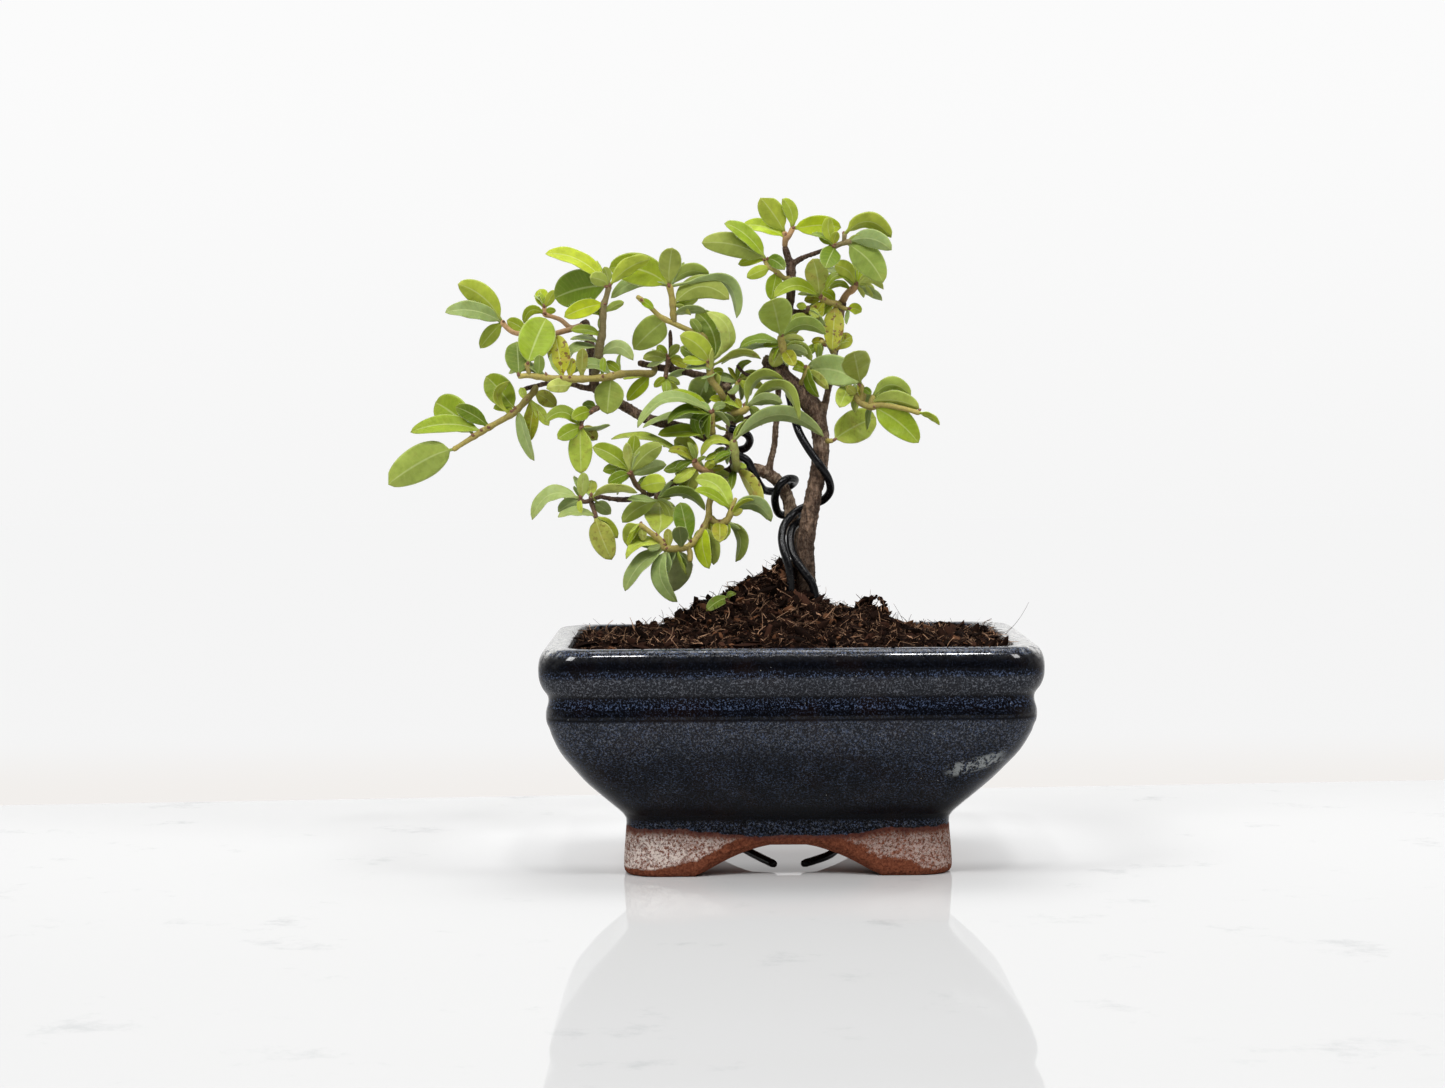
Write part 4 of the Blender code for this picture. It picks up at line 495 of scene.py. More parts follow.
clay = glaze.mix(bloom, clay, (0.76, 0.66, 0.60))
burnt = (height - glaze_end).between(-1.9, -0.3) * bare
clay = glaze.mix(burnt * 0.6, clay, (0.090, 0.028, 0.026))
glaze.set("Base Color", glaze.mix(bare, glassy, clay))
satin = neck * 0.16 + body * 0.10 + crust * 0.5 + rubbed * 0.4 + foot_band * 0.15
glaze.set("Roughness", 0.055 + satin + specks * 0.06 + bare * 0.75)
# Crazing and pinholes break the shine of the rim into streaks.
streaky = 0.15 + glaze.grain(2.4, 6, 0.85).between(0.42, 0.55) * 0.85
glaze.set("Coat Weight", (height.between(64.0, 66.5) * 0.75 + bead_foot * 0.4) * streaky)
ripple = glaze.bump(glaze.grain(7, 3), 0.40, 0.28)
pitted = glaze.grain(0.50, 4, 0.8) * (bare * 0.88 + 0.12)
glaze.set("Normal", glaze.bump(pitted, 0.30, 0.85, under=ripple))

loops = [pot_loop(inset, z) for inset, z in smooth_line(POT_PROFILE, 3)]
pot = make_piece("glazed_pot", *loft(loops), glaze)
face_out(pot)
cut(pot, arch_cutter(ARCH_HALF, 5.5, 32.8, False))
cut(pot, arch_cutter(SIDE_ARCH_HALF, 3.0, 49.8, True))
for side in (-1, 1):
    rounds = [[Vector((POT_X + side * DRAIN_X + DRAIN_RADIUS * math.cos(k * math.pi / 16),
                       DRAIN_RADIUS * math.sin(k * math.pi / 16), z)) for k in range(32)]
              for z in (4.0, 24.0)]
    cut(pot, make_piece("drain", *loft(rounds), glaze))
# Hand-dipped glaze is a little uneven.
for vertex in pot.data.vertices:
    if vertex.co.z > 12 * MM:
        uneven = 1 + noise.noise(vertex.co * 28.0)
        vertex.co -= vertex.normal * GLAZE_RUN * uneven
pot.data.shade_smooth()
pot.data.set_sharp_from_angle(angle=math.radians(38))
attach(pot, "root")
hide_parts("pot")


# The two drain screens are squares of black plastic mesh laid over the drain holes.
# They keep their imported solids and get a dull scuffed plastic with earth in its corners.

plastic = Finish("black_screen_plastic", Roughness=0.55)
earth_film = plastic.grain(2.5, 4, 0.7).between(0.5, 0.7)
plastic.set("Base Color", plastic.mix(earth_film, (0.012, 0.012, 0.013), (0.07, 0.045, 0.03)))
plastic.set("Normal", plastic.bump(plastic.grain(0.4, 3), 0.05))
for name in ("drain_screen_left", "drain_screen_right"):
    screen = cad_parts[name]
    screen.data.materials.clear()
    screen.data.materials.append(plastic.material)


# The anchor wire: soft black aluminium wire bent into a staple. It goes up through one
# drain hole, across the root ball and down the other, and its ends spread under the pot.

WIRE_RADIUS = 1.25
# A tube's rounded end: how far back each stop lies, and its share of the radius.
END_STOPS = [(0.0, 0.45), (0.3, 0.8)]
ANCHOR = [
    (19.6, -20.5, 1.9), (14.0, -10.0, 3.2), (10.0, -4.0, 4.5), (6.0, -1.0, 5.5),
    (1.8, 0.0, 7.0), (1.0, 0.0, 11.5), (1.0, 0.0, 24.0), (3.6, 0.0, 29.6),
    (10.0, 0.0, 32.0), (40.0, 0.0, 32.0), (46.4, 0.0, 29.6), (49.0, 0.0, 24.0),
    (49.0, 0.0, 11.5), (48.2, 0.0, 7.0), (44.0, -1.0, 5.5), (40.0, -4.0, 4.5),
    (36.0, -11.0, 3.0), (28.2, -20.0, 1.9)]


def smooth_route(route, step):
    """Points about step apart on a smooth curve through a route of (place, radius)."""
    out = []
    for i, ((start, wide), (end, narrow)) in enumerate(zip(route, route[1:])):
        places = [spot for spot, _ in around(route, i)]
        pieces = max(1, round((end - start).length / step))
        for t in (k / pieces for k in range(pieces)):
            out.append((curve(*places, t), wide + (narrow - wide) * t))
    return out + [route[-1]]


def circle(middle, across, upward, radius, turns):
    """Points round a place, in the plane of two directions."""
    return [middle + (across * math.cos(turn) + upward * math.sin(turn)) * radius
            for turn in turns]


def tube_skin(route, sides, rounded=0.5):
    """Points and faces of a closed tube along the route, its ends rounded off."""
    lean = [(route[1][0] - route[0][0]).normalized(),
            (route[-1][0] - route[-2][0]).normalized()]
    first, last = route[0], route[-1]
    inner = [(first[0] + lean[0] * first[1] * rounded * back, first[1] * share)
             for back, share in END_STOPS]
    outer = [(last[0] - lean[1] * last[1] * rounded * back, last[1] * share)
             for back, share in reversed(END_STOPS)]
    body = [stop for stop in route
            if (stop[0] - first[0]).length > first[1] * rounded
            and (stop[0] - last[0]).length > last[1] * rounded]
    route = inner + body + outer
    loops = []
    turns = [2 * math.pi * k / sides for k in range(sides)]
    across = lean[0].orthogonal().normalized()
    for i, (spot, radius) in enumerate(route):
        run = route[min(i + 1, len(route) - 1)][0] - route[max(i - 1, 0)][0]
        run.normalize()
        across = (across - run * across.dot(run)).normalized()
        loops.append(circle(spot, across, run.cross(across), radius, turns))
    return loft(loops)


coating = Finish("black_wire_coating", Specular_IOR_Level=0.22)
scuffs = coating.grain(0.9, 4, 0.7).between(0.56, 0.72)
coating.set("Base Color", coating.mix(scuffs, (0.004, 0.004, 0.005), (0.040, 0.037, 0.036)))
coating.set("Roughness", 0.13 + coating.grain(2.4, 3) * 0.20 + scuffs * 0.2)
coating.set("Normal", coating.bump(coating.grain(0.6, 3), 0.06, 0.6))

places = [(Vector(stop), WIRE_RADIUS) for stop in ANCHOR]
anchor = make_piece("anchor_wire_ends", *tube_skin(smooth_route(places, 1.0), 16), coating)
face_out(anchor)
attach(anchor, "root")
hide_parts("anchor_wire")


# The soil: dark peaty potting soil pressed round the roots and heaped up behind the
# trunk. The body fills the pot's inside, and its open top is cut up by lumps and pits.

SOIL_EDGE = 69.6
SOIL_RINGS = 84
# The gap between two pieces.
GAP = 0.3


def soil_height(x, y):
    """The broad heap of the packed soil, with its knob and its lumps left and right."""
    heap = 13.5 * math.exp(-((x - 21) / 24) ** 2 - (y / 26) ** 2)
    knob = 7.5 * math.exp(-((x - 19) / 8.5) ** 2 - ((y - 4) / 8.5) ** 2)
    right_lump = 5.5 * math.exp(-((x - 50) / 5.5) ** 2 - ((y - 3) / 7) ** 2)
    left_lump = 2.5 * math.exp(-((x + 2) / 7) ** 2 - ((y - 2) / 8) ** 2)
    crumbs = (0.5 * math.sin(x * 0.71 + 1.3) * math.cos(y * 0.63)
              + 0.4 * math.sin(x * 0.37 - y * 0.83))
    return SOIL_EDGE + 1.2 + heap + knob + right_lump + left_lump + crumbs


# Lower lumps and hollows along the heap's crest: place (x, y), spread and height.
CREST = [(8.0, 3, 3.4, 4.2), (-2.0, 2, 4.0, 2.2), (-9.0, 2, 4.0, 1.4), (16.5, 3, 3.0, -2.4),
         (36.0, 3, 3.0, -1.2), (57.0, 3, 4.2, 2.4)]


def rough_soil(x, y):
    """The soil's height with its lumps, crumbs and pits."""
    spot = Vector((x, y, 0))
    lumps = noise.fractal(spot * 0.17, 1.0, 2.0, 3) * 1.6
    crumbs = noise.fractal(spot * 0.55 + Vector((9, 4, 2)), 0.7, 2.1, 4) * 1.5
    pits = -abs(noise.noise(spot * 0.8 + Vector((3, 7, 5)))) * 1.6
    to_wall = min(RIM_HALF_X - RIM_WIDTH - abs(x - POT_X + 0.5),
                  RIM_HALF_Y - RIM_WIDTH - abs(y))
    drop = 1.7 * math.exp(-max(to_wall, 0) / 9)
    drop += 1.5 * clamped((y - 12) / 20)
    # It climbs the left side of the trunks' foot.
    climb = clamped((x - 20.4) / 2.8) * clamped((31 - x) / 4)
    climb = 4.6 * climb * math.exp(-((y - 1) / 5) ** 2)
    for at_x, at_y, spread, high in CREST:
        climb += high * math.exp(-((x - at_x) ** 2 + ((y - at_y) / 2) ** 2) / spread ** 2)
    return soil_height(x, y) + climb + lumps + crumbs + pits - drop


earth = Finish("dark_peaty_soil", Roughness=0.93, Specular_IOR_Level=0.03)
damp = earth.grain(5, 4, 0.6).between(0.35, 0.65)
brown = earth.mix(damp, (0.0025, 0.0013, 0.0010), (0.010, 0.0045, 0.003))
chips = earth.grain(0.7, 3, 0.8).between(0.58, 0.66)
brown = earth.mix(chips * 0.7, brown, (0.085, 0.036, 0.018))
grit = earth.grain(0.3, 2).between(0.70, 0.76)
earth.set("Base Color", earth.mix(grit * 0.5, brown, (0.26, 0.19, 0.13)))
earth.set("Normal", earth.bump(earth.grain(0.5, 5, 0.75), 0.5, 1.0))

loops = [pot_loop(inset + GAP, z + GAP)
         for inset, z in reversed(POT_PROFILE[INSIDE_START + 1:])]
edge = pot_loop(POT_PROFILE[INSIDE_START][0] + GAP + 0.3, SOIL_EDGE)
middle = Vector((POT_X, 0, 0))
for ring in range(SOIL_RINGS):
    share = 1 - ring / SOIL_RINGS
    blend = min(1, (1 - share) * 9)
    loop = []
    for spot in edge:
        flat = middle + (spot - middle) * share
        level = SOIL_EDGE - 0.9 + (rough_soil(flat.x, flat.y) - SOIL_EDGE + 0.9) * blend
        loop.append(Vector((flat.x, flat.y, level)))
    loops.append(loop)
soil = make_piece("heaped_soil", *loft(loops), earth)
face_out(soil)
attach(soil, "root")
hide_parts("soil")


# Loose crumbs of peat and bits of bark lie all over the soil and a few on the rim. They
# are small lumps, each pressed a little into the surface under it.

rng = random.Random(7)
CRUMBS, RIM_CRUMBS = 5200, 50
# The shares of crumbs that lie on the heap, are splinters and are bits of bark.
ON_HEAP, SPLINTERS, BARK_BITS = 0.35, 0.55, 0.10
# Crumbs and fibres keep this far inside the rim's widest line.
SOIL_MARGIN = 10.6
shape = bmesh.new()
bmesh.ops.create_icosphere(shape, subdivisions=1, radius=1.0)
shape.verts.ensure_lookup_table()
LUMP_POINTS = [vertex.co.copy() for vertex in shape.verts]
LUMP_FACES = [tuple(vertex.index for vertex in face.verts) for face in shape.faces]
shape.free()


def on_soil(margin=0.0):
    """A random place on the soil inside the pot's rim."""
    half_x = RIM_HALF_X - SOIL_MARGIN - margin
    half_y = RIM_HALF_Y - SOIL_MARGIN - margin
    x = POT_X + rng.uniform(-half_x, half_x)
    y = rng.uniform(-half_y, half_y)
    if rng.random() < ON_HEAP:
        x, y = rng.gauss(24, 22), rng.gauss(-6, 20)
        x = min(max(x, POT_X - half_x), POT_X + half_x)
        y = min(max(y, -half_y), half_y)
    return x, y


def painted_clod_light(x, y):
    """Painted light and shade on the soil: paler in patches like lit clods, darker between them
    like shaded gaps.
    """
    return clamped(0.5 + 1.7 * noise.noise(Vector((x * 0.34, y * 0.34, 4.0))))


def tinted(piece, name, values):
    """Store a colour with its alpha for every point of a piece."""
    layer = piece.data.color_attributes.new(name, "FLOAT_COLOR", "POINT")
    layer.data.foreach_set("color", [part for value in values for part in value])


class Skin:
    """Points, faces and colours gathered from many small forms."""

    def __init__(self):
        self.points, self.faces, self.tints = [], [], []

    def add(self, points, faces, tints=None):
        """Add one form. Its tint is one colour, or a list with one for each point."""
        start = len(self.points)
        self.points += points
        self.faces += [tuple(start + k for k in face) for face in faces]
        self.tints += tints if isinstance(tints, list) else [tints] * len(points)


# The clump that stands up on the right of the heap, with a gap through it: a crumb's
# number, its place (x, y, z) and its size.
CLUMP = {100 + k: stop for k, stop in enumerate([
    (46.8, 3.0, 79.0, 2.0), (47.6, 2.6, 80.6, 1.6), (49.0, 3.2, 81.0, 1.5),
    (50.6, 3.0, 81.3, 1.4), (52.0, 2.9, 81.7, 1.2), (53.3, 3.0, 81.3, 1.2),
    (54.2, 3.0, 80.3, 1.2), (54.5, 2.8, 79.1, 1.4), (50.0, 3.2, 79.8, 1.6),
    (49.4, 2.8, 78.6, 2.0), (52.4, 3.0, 78.3, 1.5), (54.6, 3.0, 77.9, 1.6),
    (51.0, 2.6, 77.6, 2.0), (48.0, 3.4, 77.8, 2.2), (53.4, 3.2, 77.0, 1.9)])}

skin = Skin()
for number in range(CRUMBS):
    x, y = on_soil()
    size = 0.30 + 1.5 * rng.random() ** 5
    level = rough_soil(x, y) + size * rng.uniform(-0.2, 0.5)
    if number < RIM_CRUMBS:
        x = POT_X + rng.uniform(-62, 62)
        y = -RIM_HALF_Y + rng.uniform(3.8, 6.6)
        size = rng.uniform(0.15, 0.45)
        level = RIM_TOP + size * 0.3
    # Splinters are long in one direction and thin in another.
    long = rng.uniform(1.6, 3.2) if rng.random() < SPLINTERS else rng.uniform(0.8, 1.3)
    long = 1.0 if number in CLUMP else long
    stretch = Vector((long, rng.uniform(0.55, 1.1), rng.uniform(0.35, 0.9)))
    turn = (Matrix.Rotation(rng.uniform(0, 6.28), 3, "Z")
            @ Matrix.Rotation(rng.gauss(0, 0.5), 3, "Y")
            @ Matrix.Rotation(rng.uniform(0, 6.28), 3, "X"))
    # Each crumb's tone is random, times painted light and shade: paler on lit clods, darker in
    # shaded gaps.
    shade = rng.random() ** 2 * (0.25 + 1.1 * painted_clod_light(x, y))
    bark_bit = 1.0 if rng.random() < BARK_BITS else 0.0
    if number in CLUMP:
        x, y, level, size = CLUMP[number]
    lump = []
    for corner in LUMP_POINTS:
        swell = size * (1 + rng.uniform(-0.3, 0.3))
        lump.append(Vector((x, y, level)) + turn @ (corner * stretch) * swell)
    skin.add(lump, LUMP_FACES, (shade, bark_bit, 0.0, 1.0))
crumb_finish = Finish("peat_crumbs", Roughness=0.9, Specular_IOR_Level=0.04)
# The kind layer's red is the crumb's tone with its painted light and shade.
kinds, barky = crumb_finish.layer("kind", "Red"), crumb_finish.layer("kind", "Green")
peat = crumb_finish.mix(kinds, (0.0028, 0.0016, 0.0013), (0.050, 0.022, 0.014))
peat = crumb_finish.mix(barky * 0.7, peat, (0.18, 0.080, 0.040))
mottle = crumb_finish.grain(0.6, 4, 0.7).between(0.4, 0.7)
crumb_finish.set("Base Color", crumb_finish.mix(mottle * 0.30, peat, (0.040, 0.018, 0.011)))
crumb_finish.set("Normal", crumb_finish.bump(crumb_finish.grain(0.35, 4, 0.7), 0.2, 0.9))
crumbs = make_piece("peat_crumbs", skin.points, skin.faces, crumb_finish, sharp=50)
tinted(crumbs, "kind", skin.tints)
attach(crumbs, "root")


# Root and moss fibres: fine curly orange-brown hairs and short straws that stick out of
# the peat in all directions, with a thin tuft and a few long hairs on its right.

FIBRES, TUFT = 6200, 60
FIBRE_STOPS = 6
# So far from the pot's middle a fibre lies on the rim.
FIBRE_ON_RIM = 64
THIRDS = (0.0, 2.09, 4.19)
# Single long hairs that stand out against the wall: foot and tip.
LONG_HAIRS = [
    ((91.5, -6.0, 70.6), (98.6, -8.0, 80.6)), ((86.0, -12.0, 70.2), (92.6, -15.0, 73.4)),
    ((60.5, -4.0, 73.6), (57.0, -7.0, 80.4)), ((-31.0, 4.0, 71.0), (-36.0, 0.0, 76.0)),
    ((-9.0, 6.0, 73.0), (-12.5, 2.0, 79.2))]


def fibre_skin(stations):
    """Points and faces of a thin three-sided fibre along (place, radius) stations."""
    loops = []
    for i, (spot, radius) in enumerate(stations):
        run = stations[min(i + 1, len(stations) - 1)][0] - stations[max(i - 1, 0)][0]
        across = run.orthogonal().normalized()
        loops.append(circle(spot, across, run.cross(across).normalized(), radius, THIRDS))
    return loft(loops)


skin = Skin()
for number in range(FIBRES):
    x, y = on_soil(1.0)
    length = rng.uniform(1.5, 6.0)
    thick = rng.uniform(0.07, 0.20)
    rise = rng.uniform(0.05, 0.8) ** 1.5
    curl = rng.uniform(0.2, 0.95)
    if number < TUFT:
        x, y = rng.uniform(58, 84), rng.uniform(-20, 10)
        length, thick, rise = rng.uniform(5, 10), 0.04, rng.uniform(0.1, 0.4)
    heading = rng.uniform(0, 2 * math.pi)
    run = Vector((math.cos(heading), math.sin(heading), rise)).normalized()
    bend = Vector((rng.uniform(-1, 1), rng.uniform(-1, 1), rng.uniform(-0.9, 0.5)))
    spot = Vector((x, y, rough_soil(x, y) - 0.2))
    stations = []
    for k in range(FIBRE_STOPS):
        on_rim = abs(spot.x - POT_X) >= FIBRE_ON_RIM
        low = RIM_TOP + 0.3 if on_rim else rough_soil(spot.x, spot.y)
        spot.z = max(spot.z, low + thick * 0.5) if k else spot.z
        stations.append((spot.copy(), thick * (1 - 0.11 * k)))
        run = (run + bend * curl).normalized()
        spot = spot + run * length / (FIBRE_STOPS - 1)
    if number < len(LONG_HAIRS):
        foot, tip = (Vector(end) for end in LONG_HAIRS[number])
        stations = [(foot.lerp(tip, k / (FIBRE_STOPS - 1))
                     + Vector((0.5, 0, -0.4)) * math.sin(k * 0.63), 0.085 - 0.008 * k)
                    for k in range(FIBRE_STOPS)]
    # Each fibre's tone is random, times the same painted light and shade.
    shade = rng.random() * (0.40 + 0.85 * painted_clod_light(x, y))
    skin.add(*fibre_skin(stations), (shade, 0.0, 0.0, 1.0))
straw = Finish("root_fibres", Roughness=0.75, Specular_IOR_Level=0.08)
# The kind layer's red is the fibre's tone with its painted light and shade.
shade = straw.layer("kind", "Red")
paler = straw.grain(1.5) * 0.4 + shade * shade * shade * 1.3 - 0.22
straw.set("Base Color", straw.mix(paler, (0.015, 0.0064, 0.0044), (0.60, 0.35, 0.21)))
fibres = make_piece("root_fibres", skin.points, skin.faces, straw)
tinted(fibres, "kind", skin.tints)
face_out(fibres)
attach(fibres, "root")


# The wood: a thin young tree, its right trunk sawn to a short limb above and its left
# trunk bent over to the left. Grey-brown ringed bark below, dark smooth twigs above.

BRANCHES = {
    "trunk_and_cut_limb": [
        (30.2, 67, 0, 4.4), (30.1, 78, 0, 4.0), (30, 86, 0, 3.5), (30, 90.5, 0, 3.1),
        (30.1, 98.5, 0, 2.8), (31.4, 106.8, 0.5, 2.7), (33, 115, 0.5, 2.6),
        (34.7, 123.4, 1, 2.5), (35.2, 129.5, 1, 2.6), (34.4, 136, 1, 2.7),
        (33, 140.5, 1, 3.1), (30, 144.5, 1, 3.1), (25.5, 148.5, 1.5, 2.9),
        (21.1, 152.9, 2, 2.7), (17.9, 156.8, 2, 1.9)],
    "left_trunk": [
        (29.6, 87, 1.5, 2.6), (27.6, 96, 4.5, 2.3), (26.2, 103, 7, 2.15),
        (25.6, 109, 8, 2.1), (24.5, 113.5, 8, 2.0), (22.3, 117.6, 7.5, 2.0),
        (18.9, 120.4, 7, 1.95), (15, 121.9, 6.5, 1.9), (11, 122, 6, 1.8),
        (8.3, 124.6, 5.5, 1.7), (7.3, 130, 5.5, 1.6), (7.3, 137, 5, 1.6),
        (7.5, 143, 4.5, 1.55), (6.5, 146.5, 2.5, 1.6), (5.4, 149, -0.8, 1.6)],
    "bud_knot": [(35, 130.4, 0.5, 1.3), (37.2, 130.8, -0.6, 1.0)],
    "right_stem": [
        (35, 136.5, 1, 1.4), (36.3, 141, 1.6, 1.15), (37.2, 145.5, 3, 1.05),
        (38, 149, 5, 1.05), (39.6, 158, 8, 1.05), (41, 166, 9.5, 1.05),
        (41.6, 172, 9.5, 1.5), (42.2, 174.5, 9, 1.2)],
    "leader": [
        (24.4, 149.5, 1.8, 1.3), (24.3, 153, 1.4, 1.1), (23.6, 158, 1.6, 1.0),
        (22.9, 162, 2, 0.95), (24, 166, 2.5, 1.0), (25.4, 170, 3, 1.15),
        (26.2, 178, 3, 1.5), (26.1, 184, 3, 1.5), (24.9, 188.5, 3, 1.1),
        (24.2, 191.3, 3, 0.9)],
    "leader_right_twig": [(25.5, 170.3, 3, 0.9), (30.2, 170.6, 2, 0.75)],
    "upper_right_twig": [
        (26, 185, 3, 1.2), (30, 187.3, 2.2, 0.85), (34, 188.7, 1.2, 0.75),
        (37.4, 190, 0.4, 0.7)],
    "green_wood_shoot": [
        (18.8, 121, 6.6, 1.3), (19.5, 124.5, 5.6, 1.1), (20.6, 129, 4.6, 1.0),
        (21.1, 134.5, 4.6, 1.0), (21.7, 140, 5.4, 1.0), (22, 146, 6.8, 0.95),
        (22.4, 151, 7.2, 0.8)],
    "middle_twig": [
        (7.4, 136.6, 5, 0.8), (12, 137.8, 6.5, 0.7), (15.5, 139.4, 7.5, 0.6),
        (18.6, 140.8, 8, 0.5)],
    "brown_hooked_twig": [
        (18.5, 153.4, 1, 0.9), (14.2, 151, 0, 0.7), (11.2, 152, -0.8, 0.6),
        (9.2, 154.4, -1.4, 0.55)],
    "left_limb": [
        (7.4, 131, 5.5, 1.6), (3.5, 131.2, 4.6, 1.6), (0, 131.8, 4, 1.6),
        (-6, 134.5, 3, 1.6), (-14.5, 136.7, 2, 1.6), (-20, 138.5, 2, 1.6),
        (-26, 142, 2, 1.6), (-31, 144.8, 2, 1.6), (-34.6, 148, 2.2, 1.6),
        (-35.2, 155, 3, 1.5), (-36, 160, 4, 1.5), (-37, 165, 5, 1.5),
        (-38.2, 168.4, 5.6, 1.7)],
    "low_left_fork": [
        (-33.5, 147, 2, 1.1), (-38, 147.6, 1.6, 0.95), (-42, 148.7, 1, 0.85),
        (-49, 149.1, 0, 0.8), (-53, 148.2, 0, 0.8), (-57, 147.3, 0.5, 0.75)],
    "upper_left_branch": [
        (6.6, 145.4, 3.6, 1.2), (3.2, 149.4, 7.2, 1.15), (0, 150.7, 8.4, 1.15),
        (-4, 151.6, 9.4, 1.15), (-8, 152.6, 10.2, 1.15), (-12, 153.2, 10.8, 1.15),
        (-16, 154, 11.4, 1.1), (-21.5, 155.2, 12, 1.0)],
    "upright_twig": [
        (-11, 153.4, 10.6, 0.9), (-11.2, 160, 10, 0.75), (-11.3, 165.4, 9.4, 0.65)],
    "low_left_branch": [
        (8.6, 122.6, 5.8, 1.5), (4.9, 120.6, 4.6, 1.5), (0, 119.3, 3.6, 1.4),
        (-5, 119.3, 2, 1.3), (-9.5, 118.5, 0, 1.3), (-12, 117, -1.2, 1.25),
        (-16, 115.2, -2.4, 1.1), (-20, 114, -3.4, 1.0), (-25, 112.9, -4.4, 0.9),
        (-30, 113.2, -5, 0.8), (-34.3, 114, -5.4, 0.7)],
}


def at_depth(x, z, y):
    """Place a point of the front elevation at depth y, along its line of sight."""
    spread = (y - EYE.y) / -EYE.y
    return Vector((EYE.x + (x - EYE.x) * spread, y, EYE.z + (z - EYE.z) * spread))


def tree_of(spots):
    """A search tree over places."""
    tree = KDTree(len(spots))
    for i, spot in enumerate(spots):
        tree.insert(spot, i)
    tree.balance()
    return tree


RING_EVERY = 2.3
REMESH_SIZE, SMOOTHINGS = 0.36, 3
CUT_END = at_depth(17.9, 156.8, 2)
CUT_RUN = (CUT_END - at_depth(21.1, 152.9, 2)).normalized()
# How much paler and barer than the old bark some of the wood is. For the left trunk this is
# partly painted light, as the light falls on it from the left.
PALE_WOOD = {"green_wood_shoot": 0.7, "left_trunk": 0.9, "right_stem": 0.4,
             "low_left_fork": 0.2, "bud_knot": 0.9}
skin = Skin()
wood_line = []
for number, (name, stops) in enumerate(BRANCHES.items()):
    travelled = 0.0
    route = smooth_route([(at_depth(x, z, y), radius) for x, z, y, radius in stops], 0.5)
    shaped = []
    for i, (spot, radius) in enumerate(route):
        if i:
            travelled += (spot - route[i - 1][0]).length
        uneven = 1 + 0.05 * noise.noise(Vector((travelled * 0.21, number * 7.3, 0)))
        wood_line.append((spot, radius, travelled, PALE_WOOD.get(name, 0.0)))
        shaped.append((spot, radius * uneven))
    # A branch that ends in a thin twig needs fewer sides.
    sides = 20 if stops[-1][3] > 1 else 14
    skin.add(*tube_skin(shaped, sides))
line_tree = tree_of([spot for spot, *_ in wood_line])

bark = Finish("cotoneaster_bark", Roughness=0.72, Specular_IOR_Level=0.15)
wood = make_piece("trunk_and_branches_bark", skin.points, skin.faces, bark)
face_out(wood)
step = wood.modifiers.new("grow_together", "REMESH")
step.mode, step.voxel_size = "VOXEL", REMESH_SIZE * MM
step.use_smooth_shade = True
apply_step(wood, step)
shape = bmesh.new()
shape.from_mesh(wood.data)
for _ in range(SMOOTHINGS):
    bmesh.ops.smooth_vert(shape, verts=shape.verts, factor=0.5, use_axis_x=True,
                          use_axis_y=True, use_axis_z=True)
shape.normal_update()
tints = []
for vertex in shape.verts:
    spot = vertex.co / MM
    _, index, _ = line_tree.find(spot)
    _, radius, travelled, pale = wood_line[index]
    old = clamped((radius - 0.9) / 1.6)
    coarse = noise.fractal(spot * 0.55, 0.9, 2.0, 4)
    # Rings of old leaf scars, with a low swelling and a fine groove at each.
    phase = (travelled + 0.8 * noise.noise(spot * 0.3)) / (RING_EVERY * (0.6 + 0.5 * old))
    ring = math.exp(-((phase - round(phase)) / 0.13) ** 2)
    lift = (0.11 + 0.10 * old) * coarse + (0.07 + 0.09 * old) * ring
    lift += 0.10 * old * noise.noise(spot * 2.3)
    on_cut = (spot - CUT_END).dot(CUT_RUN)
    raw = max(0.0, 1 - abs(on_cut + 0.2) / 1.4) if (spot - CUT_END).length < 3.2 else 0.0
    if raw > 0:
        lift += raw * 0.75 * noise.fractal(spot * 0.9 + Vector((1, 5, 2)), 0.8, 2.0, 3)
    vertex.co += vertex.normal * lift * MM
    tints.append((old, ring, raw, pale))
shape.to_mesh(wood.data)
shape.free()
wood.data.materials.clear()
wood.data.materials.append(bark.material)
wood.data.shade_smooth()
tinted(wood, "bark", tints)

old, ring, raw, pale = (bark.layer("bark", part) for part in ("Red", "Green", "Blue", "Alpha"))
# The grain runs up the wood: its noise is drawn out in height.
upright = bark.node("VectorMath", {"operation": "MULTIPLY"},
                    {0: bark.place(), 1: (1.0, 1.0, 0.3)})
mottle = bark.grain(1.5, 6, 0.8, upright).between(0.42, 0.60)
strands = bark.grain(0.8, 4, 0.75, upright).between(0.45, 0.58)
fine = bark.grain(0.5, 4, 0.7).between(0.45, 0.7)
twig = bark.mix(mottle, (0.050, 0.027, 0.019), (0.150, 0.090, 0.062))
trunk = bark.mix(mottle, (0.055, 0.030, 0.019), (0.33, 0.215, 0.145))
trunk = bark.mix(strands * 0.60, trunk, (0.045, 0.023, 0.015))
bare_wood = bark.mix(mottle, (0.14, 0.082, 0.050), (0.58, 0.43, 0.30))
bare_wood = bark.mix(strands * 0.45, bare_wood, (0.13, 0.072, 0.042))
colour = bark.mix(old.between(0.15, 0.8), twig, trunk)
colour = bark.mix(pale, colour, bare_wood)
